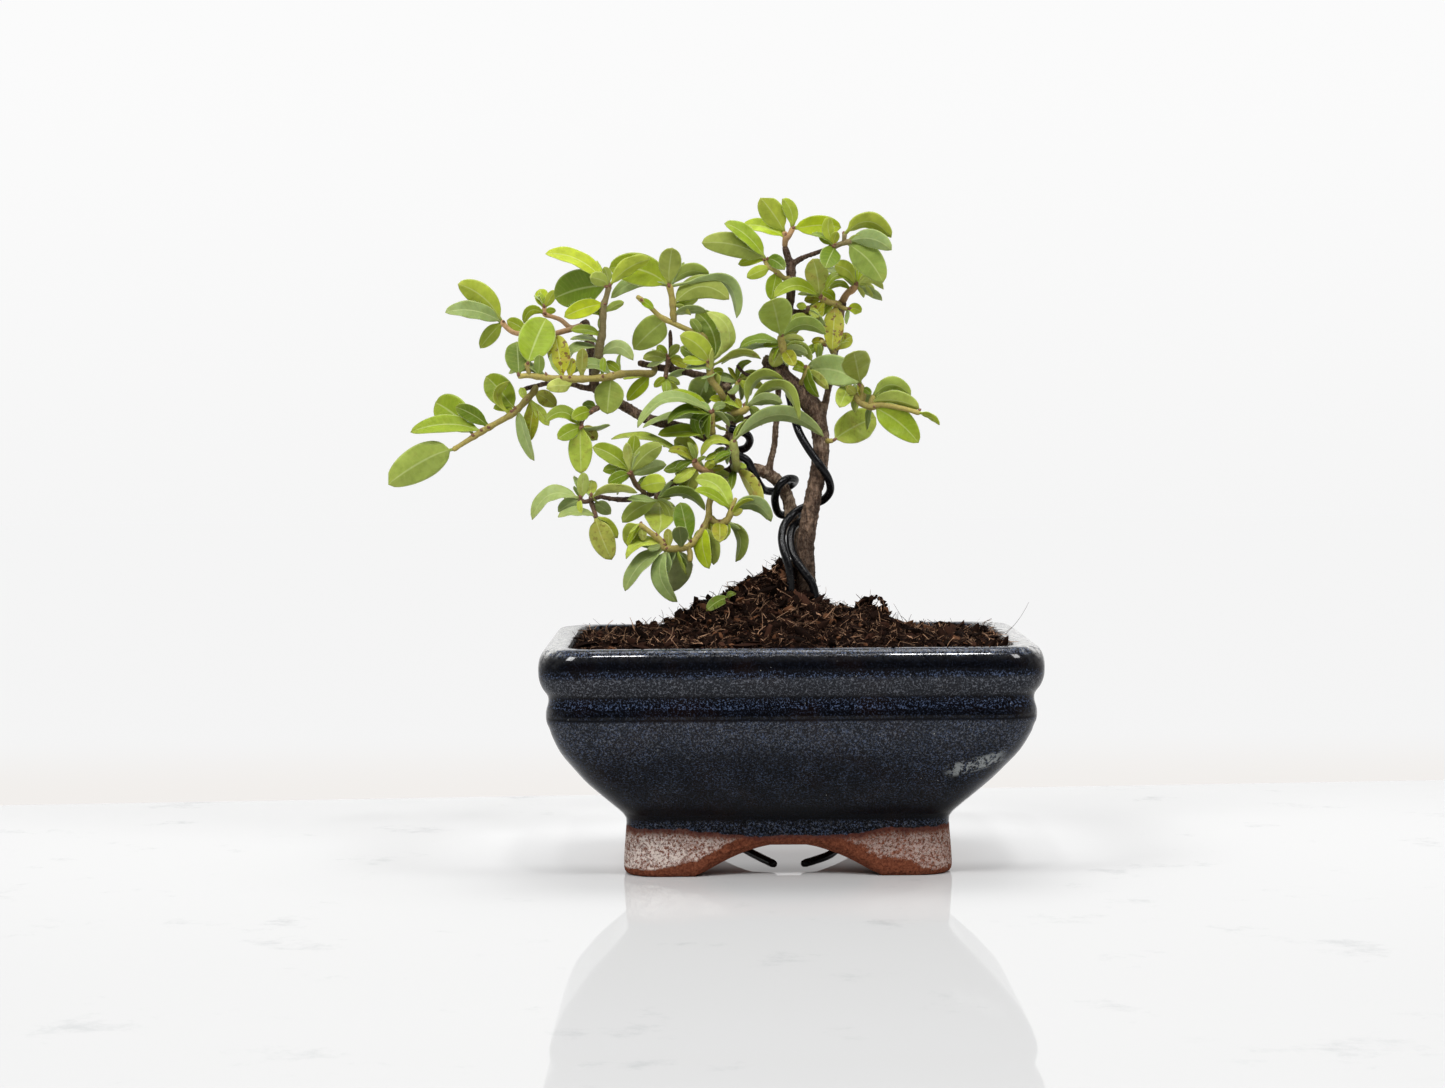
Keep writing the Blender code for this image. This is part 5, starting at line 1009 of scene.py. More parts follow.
# Darker towards the soil: partly soil stain and partly painted shade among the fibres round the
# trunk's foot.
dark_foot_stain_and_shade = 1 - bark.along("Z").between(88, 108)
colour = bark.mix(dark_foot_stain_and_shade * 0.55, colour, (0.030, 0.017, 0.011))
colour = bark.mix(fine * 0.35, colour, (0.30, 0.25, 0.20))
colour = bark.mix(ring * (0.30 + 0.3 * mottle), colour, (0.030, 0.018, 0.012))
bark.set("Base Color", bark.mix(raw * 0.7, colour, (0.33, 0.25, 0.18)))
rough_bark = bark.grain(0.45, 5, 0.7) * 0.6 + mottle * 0.3 - strands * 0.4
bark.set("Normal", bark.bump(rough_bark, 0.40, 1.0))
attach(wood, "root")
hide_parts("trunk_and_branches")


# The training wires: soft aluminium wire with a black coat, wound by hand round each
# trunk and pushed into the soil at its foot to hold it.

WIRES = {
    "training_wire_right_trunk": [
        (25.6, 74, -5), (25.5, 84, -5.6), (25.2, 90, -5.8), (24.3, 93.8, -5.2),
        (23.2, 97.4, -3.8), (22.8, 101, -2), (23.6, 104.6, -0.2), (25.9, 107.6, 1.2),
        (28.3, 109.4, 3.5), (31.9, 110.9, 5.4), (35.7, 112.3, 4), (37.9, 115.2, 0.6),
        (37.3, 119, -2.4), (34.6, 123.4, -3.8), (31.2, 128.3, -2.6),
        (28.4, 133.3, -0.6), (26.9, 138, 2), (26.1, 141.7, 4.6), (25.2, 145.6, 6.4)],
    "training_wire_left_trunk": [
        (33.6, 72, -5), (33.4, 80, -5.2), (32.4, 85.7, -5.4), (29.8, 89.8, -5.4),
        (27.5, 93.3, -4.5), (25.8, 97, -2.6), (25.4, 100.8, -0.6), (26.2, 103.8, 1.4),
        (28.2, 105.6, 4.2), (30.1, 106.7, 8.2), (28.6, 107.3, 11.7),
        (25.2, 107.6, 12.6), (22.3, 108, 11.2), (21.1, 110, 8), (20.8, 113.5, 5),
        (22.2, 117, 3.6), (24.6, 118.9, 4.2), (27, 118.7, 8), (25.8, 117, 12),
        (21.6, 115.2, 12.4), (17.9, 115.4, 9), (15.9, 117.4, 4.8), (14.2, 120.9, 2.4),
        (12.5, 124.4, 1.6), (10.3, 125.9, 1.4), (7.3, 126.5, 1.6), (4.4, 127, 4.4),
        (5.2, 127.6, 8.4), (8.8, 127.8, 9.3), (11.8, 128.6, 8.2), (13.1, 130.8, 6.2),
        (12.2, 132.8, 3.4), (9.4, 134, 1.7), (6.6, 134.7, 1.6)],
}

for name, stops in WIRES.items():
    route = [(at_depth(x, z, y), WIRE_RADIUS) for x, z, y in stops]
    wire = make_piece(name + "_coated", *tube_skin(smooth_route(route, 0.7), 18, 0.35),
                      coating)
    face_out(wire)
    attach(wire, "root")
    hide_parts(name)


# The shoots: each grows from the wood with its leaves. A young stem is thin, green to
# tan and finely hairy, swells at each leaf and carries a small bud in the leaf's corner.

# Each shoot: how far it swings back (or forward, if negative) for each millimetre of its
# reach, its stem's shade, how many small leaves it has besides those listed, its stems as
# stops (x, z, depth, radius), and its leaves (foot x and z, tip x and z, width, bow, shade).
SPRAYS = {
    "far_left": (0.15, "ochre", 2, [[
        (-53, 148.3, 0, 0.9), (-53.6, 146.6, -1.6, 0.85), (-55.5, 144.5, -2.4, 0.85),
        (-60, 140, -3.2, 0.85), (-66, 136.5, -4, 0.8), (-70, 134.2, -4.6, 0.8),
        (-79, 128.6, -5.4, 0.6)]], [
        (-79.3, 129.2, -99, 118.2, 11, 0, "g"), (-73.6, 135, -84.5, 143.5, 10.5, 0, "g"),
        (-70.5, 134.8, -92, 134.2, 5.5, 1, "g"), (-68.4, 136.6, -78, 142, 5, 0, "d"),
        (-60, 141.2, -68.4, 151.3, 8.5, 0, "g"), (-61.4, 139.8, -61, 149.8, 2.4, -4, "p"),
        (-60, 140.6, -66.2, 141.4, 3, 0.6, "g"), (-56.4, 144.2, -57.8, 147.8, 2.5, 0, "p"),
        (-58.2, 140.6, -54, 125.1, 4, -0.6, "b"), (-53.6, 142.6, -55.5, 131, 5, 0, "o"),
        (-53, 146, -46.8, 141.8, 5, 0, "o")]),
    "left_front": (-0.15, "ochre", 5, [[
        (-16, 153.8, 11.2, 0.9), (-17, 151.9, 8, 0.9), (-21, 152, 5, 0.95),
        (-26, 151.8, 1.6, 0.95), (-30, 151, -1.6, 0.95), (-35, 150.5, -3.6, 0.9),
        (-40, 150.3, -4.6, 0.9), (-45, 150.5, -5, 0.85), (-50, 150.8, -5, 0.8),
        (-55, 151.5, -5, 0.75), (-58.6, 151.2, -5, 0.6)], [
        (-55, 151.5, -5, 0.7), (-55.8, 155.5, -5.6, 0.55)]], [
        (-55.7, 154.8, -49.6, 169.2, 11, 0, "g"), (-58.2, 151.6, -58.8, 162, 8, 0, "d"),
        (-50.5, 151.4, -61.5, 152.3, 3, 1.5, "b"), (-52, 151.6, -51.8, 158, 3.4, 0, "d"),
        (-44.6, 151.5, -47, 164, 7, 0, "s"), (-42.4, 151.2, -41.6, 156.8, 3.2, 0, "s"),
        (-38.8, 151.4, -38.5, 160, 3.7, 0, "o"), (-29.8, 149.8, -31, 139.4, 9.2, 0, "g"),
        (-29.5, 151.5, -42, 151.8, 3.5, 2.5, "b"), (-27, 152.6, -31.5, 155.4, 3, 0, "g"),
        (-41, 147.4, -49.8, 147.3, 4.5, 0.6, "p"), (-17.6, 150.6, -24.8, 143.5, 4.5, 0, "y"),
        (-32.4, 151.8, -32, 157, 2.2, 0, "g")]),
    "upper_left": (0.35, "tan", 3, [[
        (-37.8, 167, 5.4, 1.0), (-40.5, 166.2, 3.4, 0.85), (-43.5, 165.3, 2.4, 0.8),
        (-50, 164, 1, 0.75), (-59.5, 164.8, 0, 0.75), (-63.6, 168.4, -0.5, 0.65)], [
        (-40.5, 166.2, 3.4, 0.8), (-42.5, 166.4, 5, 0.7), (-45.1, 168.6, 6, 0.65),
        (-48, 169.7, 6, 0.6), (-50, 170.4, 6, 0.6), (-50.1, 172.6, 6, 0.55)]], [
        (-63.7, 169.4, -76.9, 179.9, 7.5, 1, "y"), (-64, 168.4, -80.8, 171.2, 5.5, 1, "b"),
        (-63.6, 167.4, -70.2, 160, 5, 0, "y"), (-56, 165.3, -61.8, 168.6, 4, 0, "g"),
        (-50.2, 170.6, -56.5, 167.6, 3.2, 2.4, "g"), (-50, 171.2, -46.6, 171.4, 2.2, 0, "g"),
        (-50.2, 172.6, -51.5, 178, 4.5, 0, "y"), (-49.8, 172.4, -46.8, 177.8, 3, 0, "y")]),
    "left_tall": (-0.2, "olive", 4, [[
        (-35.2, 151.6, 2.6, 1.2), (-34, 153.8, 0, 1.15), (-33.3, 160, -1.6, 1.05),
        (-32.2, 165, -2.6, 0.95), (-32, 172, -3.4, 0.85), (-31, 175.5, -3.6, 0.8),
        (-30, 179.4, -4, 0.65)]], [
        (-31.2, 179, -47, 175.3, 12, 0, "d"), (-31.4, 180.4, -49.7, 189.4, 5, 1.5, "y"),
        (-32.4, 173.4, -44, 169.5, 5.5, 0, "y"), (-32.6, 169.3, -41, 170.5, 3.5, 2, "g"),
        (-33, 163.9, -42, 165.4, 3, 0.4, "g"), (-33.4, 161.6, -42.2, 162.6, 1.8, 0.4, "b"),
        (-33.8, 159.6, -44.8, 152, 3, 3.4, "b"), (-30.2, 179.8, -36.2, 181.6, 4.5, 0, "g"),
        (-30, 180.2, -31.5, 184.9, 3, 0, "g"), (-29.6, 179.8, -17.4, 187.3, 4.8, 0.6, "y"),
        (-31.2, 171.2, -25.5, 174, 2.6, 0, "g"), (-32.8, 157.4, -22.8, 155.9, 4.5, 3, "b")]),
    "left_under": (-0.3, "brown", 5, [[
        (-30.6, 144.2, 1.8, 0.9), (-33, 142, -0.8, 0.7), (-37.1, 139.5, -2.6, 0.65),
        (-38.9, 137.2, -3.6, 0.6), (-39.3, 135.2, -4.2, 0.6)]], [
        (-39.6, 135.4, -50.5, 137.2, 4, 3.2, "g"), (-39.8, 135.2, -46.4, 131.8, 5, 0, "g"),
        (-39.8, 135.8, -44.8, 134, 2.4, 0, "g"), (-39.5, 134.6, -39.3, 121, 7.5, 0, "p"),
        (-39, 135, -34.2, 131.4, 4.5, 0, "s"), (-36.2, 140.4, -42, 138, 4.5, 0, "g"),
        (-34.3, 141.6, -38.7, 141.8, 3.5, 0, "d")]),
    "middle": (-0.12, "ochre", 13, [[
        (7.2, 141.6, 4.2, 1.1), (5.4, 143.6, 0.6, 0.95), (4.4, 145.4, -2.4, 0.95),
        (2.9, 147.6, -2.8, 0.95), (1.2, 149.8, -2.8, 0.9), (0.9, 152.5, -2.6, 0.9),
        (0.6, 156, -2, 0.8), (0, 160, -1, 0.75), (-0.8, 163, 0, 0.75), (-5, 164.9, 0.5, 0.75),
        (-10, 167.2, 1, 0.75), (-14.3, 169.4, 1, 0.7), (-17.8, 172.7, 0.5, 0.65),
        (-21.6, 175.8, 0, 0.6)], [
        (-10, 167.2, 1, 0.75), (-10.3, 170, 1, 0.85), (-10.5, 174, 1, 0.9),
        (-11.5, 179.4, 0.5, 0.8)]], [
        (2.6, 154.4, -3.5, 170.8, 8.5, 2.4, "d"), (5.4, 156, 0, 170.5, 5, 4, "p"),
        (1.6, 154.6, -8.3, 163.5, 6.4, 1, "y"), (0.2, 155.4, -8.2, 160, 4.5, -0.6, "d"),
        (3.6, 152.7, -6.8, 153.2, 2.4, 0.6, "b"), (1.4, 151.4, 5, 152.4, 3, 0, "g"),
        (0.4, 150.2, -3.3, 141.4, 9, 0, "d"), (4.4, 154.6, 16.7, 156.2, 2.4, 1.6, "o"),
        (-1.6, 163.8, -5, 168.6, 3, 0, "d"), (-12, 168.6, -22.5, 159.5, 9, 0, "g"),
        (-11.8, 179.6, -30, 184.5, 10, 1, "g"), (-11.9, 180.4, -10.5, 190.7, 7, 0, "g"),
        (-11.4, 178.8, -29.5, 175.2, 5, 2.5, "b"), (-10.8, 179.6, 1, 181.8, 4, 2.2, "g"),
        (-10, 173, 7, 174.5, 7.5, 4, "g"), (-2.4, 180.4, 9.5, 168.8, 4, 5, "b"),
        (-10.2, 170, 0, 171, 2.6, 0.4, "b"), (-20.6, 174.8, -16.4, 171.8, 2.6, 0, "g")]),
    "upper_branch": (-0.3, "brown", 6, [[
        (-12.4, 153.4, 10.8, 0.8), (-12, 155.2, 7.6, 0.7), (-12, 157.2, 6.6, 0.6)], [
        (-12, 155.2, 7.6, 0.65), (-12.6, 152.6, 7.8, 0.65), (-12.8, 150, 7, 0.6)]], [
        (-12.4, 157, -15.4, 160.4, 3, 0, "g"), (-11.8, 157.4, -8.4, 160.6, 2.8, 0, "g"),
        (-12.5, 155.8, -19.8, 156.4, 3.5, 0.8, "g"), (-11.6, 156.4, -5.6, 153.6, 3, 0, "o"),
        (-12.9, 150.6, -16.4, 147.6, 2.6, 0, "g"), (-12.6, 150.4, -8.4, 148.4, 2.4, 0, "g"),
        (-12.8, 149.8, -12.4, 145, 3, 0, "g")]),
    "left_center": (-0.5, "ochre", 11, [[
        (1, 131.6, 4, 1.2), (1.2, 133.6, 0.4, 1.05), (1.3, 136, -1, 0.9),
        (1.4, 139.8, -1.6, 0.75)]], [
        (0.8, 139.8, -1.4, 131.6, 3, -3.6, "d"), (1, 140.3, -4.4, 141.2, 3, 0.6, "b"),
        (1.8, 140.4, 5.8, 141.6, 2.6, 0.6, "b"), (1.8, 136.4, 6.6, 138.4, 2.6, 0.8, "d"),
        (0.4, 140.4, -14, 144.5, 4, 1, "y"), (0.2, 139.9, -21.7, 135.2, 3.4, 5.5, "b"),
        (0.4, 138.8, -12.2, 136.4, 3.2, 2.2, "d"), (0.6, 136.4, -20.2, 135.5, 2.2, 1.4, "b"),
        (0.6, 133.8, -15.3, 133.4, 4, -0.6, "g")]),
    "lower_center": (-0.5, "tan", 12, [[
        (2.2, 119.8, 4.2, 1.1), (1.4, 121.4, 0.8, 1.0), (-0.8, 121.6, -1, 0.95),
        (-2.9, 122.6, -1.8, 0.9), (-4.4, 124.8, -2.2, 0.7)]], [
        (-3.8, 124.2, -10.6, 131.2, 6.6, 0.8, "p"), (-4.6, 124.8, -12.2, 127.8, 2.8, 1.2, "s"),
        (-4, 122.8, -7.6, 113, 6, 0, "o"), (-1.2, 122.2, 2.4, 124.4, 2.8, 0, "y"),
        (0.6, 121.8, 5.2, 122.6, 2.2, 0, "o"), (-5.4, 124.6, -10, 122, 2.6, 0, "d"),
        (-9.5, 127.8, -30, 132.3, 2.2, 1, "p"), (-6.4, 125.2, -9.8, 119.8, 3, 0, "g")]),
    "left_node": (-0.8, "brown", 6, [[
        (-19.5, 114.2, -3.2, 0.8), (-20.5, 116, -6.6, 0.75), (-22.4, 117.7, -7.6, 0.7),
        (-24, 121.2, -8, 0.65)]], [
        (-24.4, 122.2, -35.7, 129.3, 5.6, 0.5, "g"), (-23.8, 122.4, -22.5, 133, 4.5, 0, "g"),
        (-23.4, 122, -14, 129.5, 6, 0.6, "g"), (-24.2, 122.6, -25.2, 130.5, 2.8, 0, "p"),
        (-24.8, 121.5, -32.5, 121.8, 3.8, 0.4, "g"), (-24.4, 120.8, -31, 118, 4, 0, "d"),
        (-20.8, 116.6, -13, 118, 6, 0, "y"), (-21.8, 118, -17.3, 119.5, 2.2, 0, "d"),
        (-23.2, 120.8, -12.8, 123.6, 4.2, 0, "b")]),
    "low_left": (-0.3, "brown", 7, [[
        (-33, 113.8, -5.2, 0.6), (-35, 113.4, -5.8, 0.65), (-36.4, 112.7, -6.4, 0.65),
        (-38.5, 112.3, -7, 0.6), (-40, 113.3, -7, 0.6)], [
        (-36.4, 112.7, -6.4, 0.6), (-35.4, 109.6, -7, 0.6), (-34.8, 107.2, -7.4, 0.55)], [
        (-36.4, 112.7, -6.4, 0.6), (-36.2, 113.8, -8.8, 0.55)]], [
        (-40.2, 113.2, -54.5, 106.8, 4.5, 4, "b"), (-39.8, 112.8, -46.5, 109.3, 4.5, 0, "b"),
        (-39.2, 113.4, -38.3, 121.4, 3.7, 0, "p"), (-35.4, 107.8, -46.6, 107.6, 2.6, 0.8, "b"),
        (-34.8, 106.8, -30, 94.2, 7.5, -0.6, "o"), (-34.2, 107.2, -28.2, 101, 4.4, 0, "y"),
        (-36.6, 114.2, -36, 119, 4, 0, "p"), (-35.8, 114, -22, 114.8, 2.8, 0.8, "p"),
        (-35.2, 111.8, -30.2, 108.4, 4.2, 0, "b")]),
    "low_middle": (-0.3, "brown", 7, [[
        (-15.8, 115.2, -2.4, 0.8), (-15.9, 113.8, -5.8, 0.65), (-15.9, 112.6, -6.8, 0.6)]], [
        (-15.3, 112.8, -1, 109.4, 3.6, 3, "d"), (-16.4, 112.2, -26.6, 105.8, 5.4, 0.6, "g")]),
    "hanging": (-0.3, "ochre", 16, [[
        (3.4, 120.2, 4.2, 1.2), (3.2, 118.2, 0.6, 1.0), (1.6, 115, -1.4, 0.95),
        (0.3, 111, -2.6, 0.9), (0.2, 107.5, -3.6, 0.9), (-1.4, 104, -4.2, 0.85),
        (-4, 100.4, -4.4, 0.85), (-6.4, 98.1, -4.2, 0.85), (-10, 97.5, -4.2, 0.85),
        (-13.6, 97.8, -4.6, 0.85), (-14.6, 99.8, -5, 0.8), (-17.9, 102.6, -5.6, 0.75),
        (-21.4, 105.2, -6.2, 0.6)], [
        (0.2, 107.4, -3.6, 0.85), (3, 105.4, -5, 0.9), (5.6, 106, -6, 0.9), (6.8, 108, -6.6, 0.8),
        (7.5, 110.2, -7, 0.65), (8.7, 113.2, -7.4, 0.5)], [
        (-6.4, 98.1, -4.2, 0.7), (-5.7, 96.2, -4.6, 0.8), (-5.7, 93.4, -4.8, 0.75)]], [
        (6.4, 109.4, -4, 119, 5.8, 2.6, "p"), (7.8, 109.6, 19.7, 105.8, 4.8, 3, "b"),
        (7.2, 107.6, 10.8, 109.4, 2.2, 0, "s"), (6.2, 105.6, 8.5, 93.3, 3.8, 2.8, "d"),
        (3.6, 106, 3.6, 99.3, 5, 0, "o"), (0.8, 106.4, 1.2, 99.6, 3, 0, "s"),
        (5.8, 110.4, -4, 115.6, 3, 0.6, "g"), (-1.6, 104.8, 0.1, 91.2, 5.4, -1, "y"),
        (-1, 103.4, 1.6, 92.4, 4.6, 0.8, "g"), (-14.4, 102.8, -15.2, 112.4, 10, 0, "p"),
        (-20.8, 104.6, -20, 100, 2.6, 0, "o"), (-21.8, 105.4, -25, 98.5, 6.5, 0, "y"),
        (-14.6, 98.4, -25.8, 94.6, 3, 2.4, "p"), (-13.8, 96.9, -26.3, 84.6, 4.8, 1.5, "b"),
        # The second leaf on the next line takes w: painted light, a far paler green that lightens
        # the shade it hangs in.
        (-13.4, 96.8, -9.7, 81, 5.2, -3.4, "b"), (-9.8, 96.8, -11.2, 84.4, 11, 0, "w"),
        (-6.2, 100.4, -8.6, 111.9, 6.6, 0, "d"), (-8.2, 98.2, -9.2, 104.6, 5, 0, "b"),
        (-12.2, 98.2, -12.6, 103.8, 3, 0, "o")]),
    "front_shoot": (-0.3, "green", 6, [[
        (8.6, 122.6, 5, 1.3), (8.9, 122.6, 1.4, 1.15), (8.7, 124.2, -1.4, 1.1),
        (8.2, 128, -2, 1.1), (7.9, 131.2, -1.8, 0.9)]], [
        (8.6, 131.2, 36, 132, 5, 6, "b"), (8, 131.4, 12, 136.6, 2.8, 0, "g"),
        (7.6, 129, -2, 126, 2.6, 3.2, "p"), (7.4, 127.2, -0.6, 125.2, 3, -0.6, "d"),
        (9.2, 121.6, 16.6, 109.4, 4.8, 0.8, "s"), (8, 121.8, 7.2, 115.6, 2.6, 0, "d"),
        (9.4, 123.6, 12, 122.4, 1.8, 0, "p")]),
    "arched": (-0.5, "ochre", 6, [[
        (7.4, 139.4, 4.8, 1.1), (8.8, 139.8, 1.2, 1.0), (11.4, 140.2, -0.2, 0.9),
        (12.6, 141.6, -0.6, 0.8)]], [
        (12.2, 142, 23.8, 149.6, 3.6, 4.4, "g"), (13, 142, 28.4, 137, 3.4, 7.5, "g"),
        (13.4, 141.8, 23.4, 142.4, 3.8, 1.2, "b"), (11, 139.4, 8.2, 136.6, 3.8, 0, "d"),
        (8.6, 140.6, 6.4, 145, 1.8, -1, "g"), (10.4, 140.8, 9, 144, 2, 0, "o")]),
    "small_middle": (-0.3, "ochre", 8, [[
        (7, 145.2, 3.4, 0.9), (9, 146.8, 1.2, 0.65), (9.2, 149.4, 0.6, 0.6)]], [
        (8.9, 149, 6.2, 145.8, 2, 1.4, "b"), (9.2, 149.8, 13.8, 155.3, 2.2, -1.6, "g"),
        (9.6, 149.4, 13.2, 149.4, 1.8, 0.8, "b"), (8.8, 149.9, 6.6, 153.6, 1.4, 0, "o")]),
    "leader_low": (-0.6, "ochre", 8, [[
        (23.5, 157.6, 1.6, 0.9), (23.8, 158.2, -1.8, 0.95), (23.3, 160.5, -2.6, 1.0),
        (22.8, 163.4, -2.6, 0.9)]], [
        (22.6, 164, 20.2, 174.4, 10.5, 0, "g"), (23.6, 163.4, 37, 163.6, 4.4, 2.6, "d"),
        (23.6, 164, 31, 169.6, 4.6, 0, "p"), (23.6, 162.4, 30.2, 161.8, 2.6, 0, "p"),
        (22.4, 160.3, 10, 159.8, 3, 1.4, "d"), (22.8, 159.4, 4.5, 154.6, 2.2, 1.4, "b"),
        (23.2, 158.6, 20.2, 153.6, 5, 0, "o"), (24, 158.8, 27, 153.8, 4.4, 0, "o"),
        (24, 160, 32.6, 155.4, 3.2, 1.6, "g")]),
    "apex": (0.6, "tan", 0, [[
        (24.3, 190.6, 3, 0.8), (24.6, 193, 2.4, 0.8), (25.8, 194.4, 1.8, 0.75),
        (27, 196.8, 1.2, 0.6)], [
        (24.6, 193, 2.4, 0.7), (24.2, 195.4, 2.4, 0.6)]], [
        (24.1, 195.6, 16.8, 205.8, 7.5, 0, "y"), (26.9, 197, 23.5, 205.4, 4.4, 1, "y"),
        (27.4, 195.8, 41.7, 196.4, 6.2, 0.4, "y"), (23.8, 193.6, 11.2, 197.3, 4.5, 0.8, "y")]),
    "upper_side": (0.5, "ochre", 3, [[
        (26, 180.8, 3, 0.9), (24, 181, 0, 0.75), (21.5, 183.2, -1.4, 0.7), (19, 185, -2, 0.65),
        (18.2, 187, -2.4, 0.6)]], [
        (18, 187.3, -1.3, 192, 7.5, 0.8, "g"), (17.8, 187.8, 5.7, 198, 5, 0.8, "g"),
        (19.6, 184, 12.5, 181.2, 4, 0, "y"), (18.8, 187.2, 24.2, 183.6, 4.4, 0.4, "d"),
        (21.8, 182.6, 20, 174.2, 5.2, 0, "g")]),
    "upper_right": (-0.3, "olive", 3, [[
        (36.6, 189.7, 0.6, 0.7), (38.4, 190.3, -0.2, 0.7), (40.5, 191, -1, 0.7),
        (42.8, 191.8, -1.6, 0.7), (45, 192.3, -2, 0.6)], [
        (42.6, 191.7, -1.6, 0.6), (42.8, 194.6, -1.8, 0.55)]], [
        (43, 194.9, 57.2, 193.2, 4.8, 3.6, "y"), (44.6, 192.4, 57.4, 189.4, 5.6, 1.4, "b"),
        (43.4, 191.2, 54.6, 179.4, 9, 1, "d"), (39.8, 190.2, 36.8, 184, 6.5, 0, "d"),
        (39, 191.2, 40.6, 195.2, 2.8, 0, "y"), (39.4, 191.4, 34.8, 193.6, 2.8, 0, "g")]),
    "right_middle": (-0.5, "tan", 3, [[
        (41.9, 173.4, 9.4, 1.1), (43.4, 176, 7.2, 0.95), (45.2, 177.4, 6, 0.9),
        (46.7, 178.9, 5.2, 0.75)]], [
        (45.8, 181.2, 39.4, 184.8, 5.2, 0.4, "y"), (46.8, 180, 47.4, 187.1, 4.8, 0, "y"),
        (47.2, 179.6, 54.2, 182.9, 3.2, 0, "p"), (47.2, 179.3, 54.7, 177.3, 2.4, 1.6, "p"),
        (47.1, 178.8, 52, 177.2, 2.8, 0, "p"), (46.6, 178, 48.7, 174.8, 1.4, 0.3, "g"),
        (41.6, 182.4, 35.2, 183, 2, 0.4, "b"), (45, 180.4, 37, 177, 2.6, 2.6, "g"),
        (44.2, 177.6, 38, 177.4, 2.2, 1.4, "g")]),
    "right_node": (-0.5, "ochre", 6, [[
        (41.4, 172.4, 9.4, 1.1), (39.6, 173, 6, 0.85), (37.5, 173.6, 4.6, 0.8),
        (35, 175, 3.6, 0.7)], [
        (40, 172.8, 6.6, 0.6), (42, 171.8, 6, 0.55), (43.8, 171.2, 6.2, 0.5)]], [
        (34.8, 175.9, 32.8, 187, 7.4, 0.4, "o"), (34.4, 175.4, 21, 175, 4.4, 2.8, "g"),
        (40, 174, 34.6, 177, 3.6, 0.4, "y"), (39.7, 172, 38.8, 158.5, 6.5, 0, "s"),
        (36, 172.8, 30.8, 166.2, 5, 0, "s"), (35.4, 173.6, 30.2, 174, 3, 0.4, "o"),
        (43.8, 171.2, 47.8, 170.3, 3.6, 0.4, "y")]),
    "twig_end": (-0.3, "brown", 3, [[
        (29.4, 170.6, 2.1, 0.65), (31.2, 170.8, 1.2, 0.6), (31.3, 172.4, 0.4, 0.5)]], [
        (31, 171.9, 27.8, 172.4, 2.4, 0, "y"), (31.6, 171.2, 34.8, 168.8, 2.6, 0, "p")]),
    "right_inner": (-0.3, "ochre", 3, [[
        (39.6, 157.6, 8, 0.85), (38.6, 158.8, 4.8, 0.7), (37.4, 160.4, 3.6, 0.6),
        (35, 161.4, 3, 0.55)]], [
        (40.4, 159.4, 44.9, 162.9, 4.8, 0, "s"), (37, 160.8, 32.4, 161.4, 3, 0, "s"),
        (34.4, 161.4, 34.8, 157.2, 3.2, 0, "y")]),
    "right_low": (-0.3, "ochre", 5, [[
        (38, 149, 5, 0.95), (40, 148.6, 1.4, 0.85), (43.5, 147.4, -1, 0.85),
        (46, 144.6, -2.4, 0.9), (47.6, 142.4, -3.2, 0.95), (50.4, 141.1, -3.6, 0.9),
        (54, 141.6, -3.8, 0.75), (60, 140.6, -4.4, 0.7), (65.8, 139, -5.2, 0.6)], [
        (47.6, 142.4, -3.2, 0.8), (48.4, 145.2, -3.8, 0.7), (47.4, 148.2, -4.2, 0.65)], [
        (50.4, 141.2, -3.6, 0.7), (51.4, 144.6, -3.4, 0.6)]], [
        (47.2, 148.4, 30.9, 152.2, 9.4, 1.4, "b"), (47.2, 149, 45.2, 158.4, 9, 0, "g"),
        (51.5, 144.9, 63, 144.2, 4.8, 2.8, "g"), (51.4, 142.6, 65.6, 140.4, 5.4, 0.8, "g"),
        (51.2, 140.9, 65.4, 129.8, 8.6, 0.6, "g"), (65.8, 138.9, 71.9, 135.3, 1.8, 0.5, "y"),
        (44, 147.4, 41, 141, 5.6, 0, "p"), (48.2, 146.8, 50.8, 145, 2.2, 0, "d"),
        (47, 143.4, 45.6, 148, 3.4, 0, "o"), (46.4, 144.4, 43.2, 147.2, 3, 0, "o"),
        (48.4, 143.4, 47.6, 147, 2.6, 0, "o"), (46.6, 143.6, 43.4, 143.6, 2.2, 0, "s")]),
    "knot": (0.0, "ochre", 0, [[
        (36.4, 130.7, -0.2, 0.9), (38, 130.6, -1.8, 0.6), (39, 130.8, -2.2, 0.5)]], [
        (38.8, 130.7, 52.3, 137.6, 10.2, 0, "p")]),
    "limb": (0.0, "ochre", 4, [[
        (28.2, 147.2, 0.6, 0.85), (29.8, 149.8, -1.8, 0.7), (30.8, 152, -2.4, 0.6),
        (31.2, 154, -2.6, 0.55)]], [
        (31.1, 153.8, 34.6, 144.2, 3.2, -1.4, "d"), (30.9, 152.4, 37.8, 146.7, 3, 0, "o"),
        (30.4, 151.4, 26.4, 152.9, 1.8, 0.6, "g")]),
}

# The colours of young stems.
STEM_SHADES = {"green": (0.33, 0.36, 0.09), "ochre": (0.42, 0.35, 0.085),
               "olive": (0.24, 0.20, 0.085), "tan": (0.50, 0.30, 0.14),
               "brown": (0.13, 0.075, 0.048)}


def spray_route(stem, foot, swing, step):
    """A stem's route, swung back or forward beyond the shoot's first few millimetres."""
    foot_x, foot_z = foot[:2]
    route = []
    for x, z, y, radius in stem:
        reach = max(0.0, math.hypot(x - foot_x, z - foot_z) - 5.0)
        route.append((at_depth(x, z, y + swing * reach), radius))
    return smooth_route(route, step)


packed_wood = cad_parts["trunk_and_branches"].data
wood_tree = BVHTree.FromPolygons([v.co / MM for v in packed_wood.vertices],
                                 [tuple(p.vertices) for p in packed_wood.polygons])


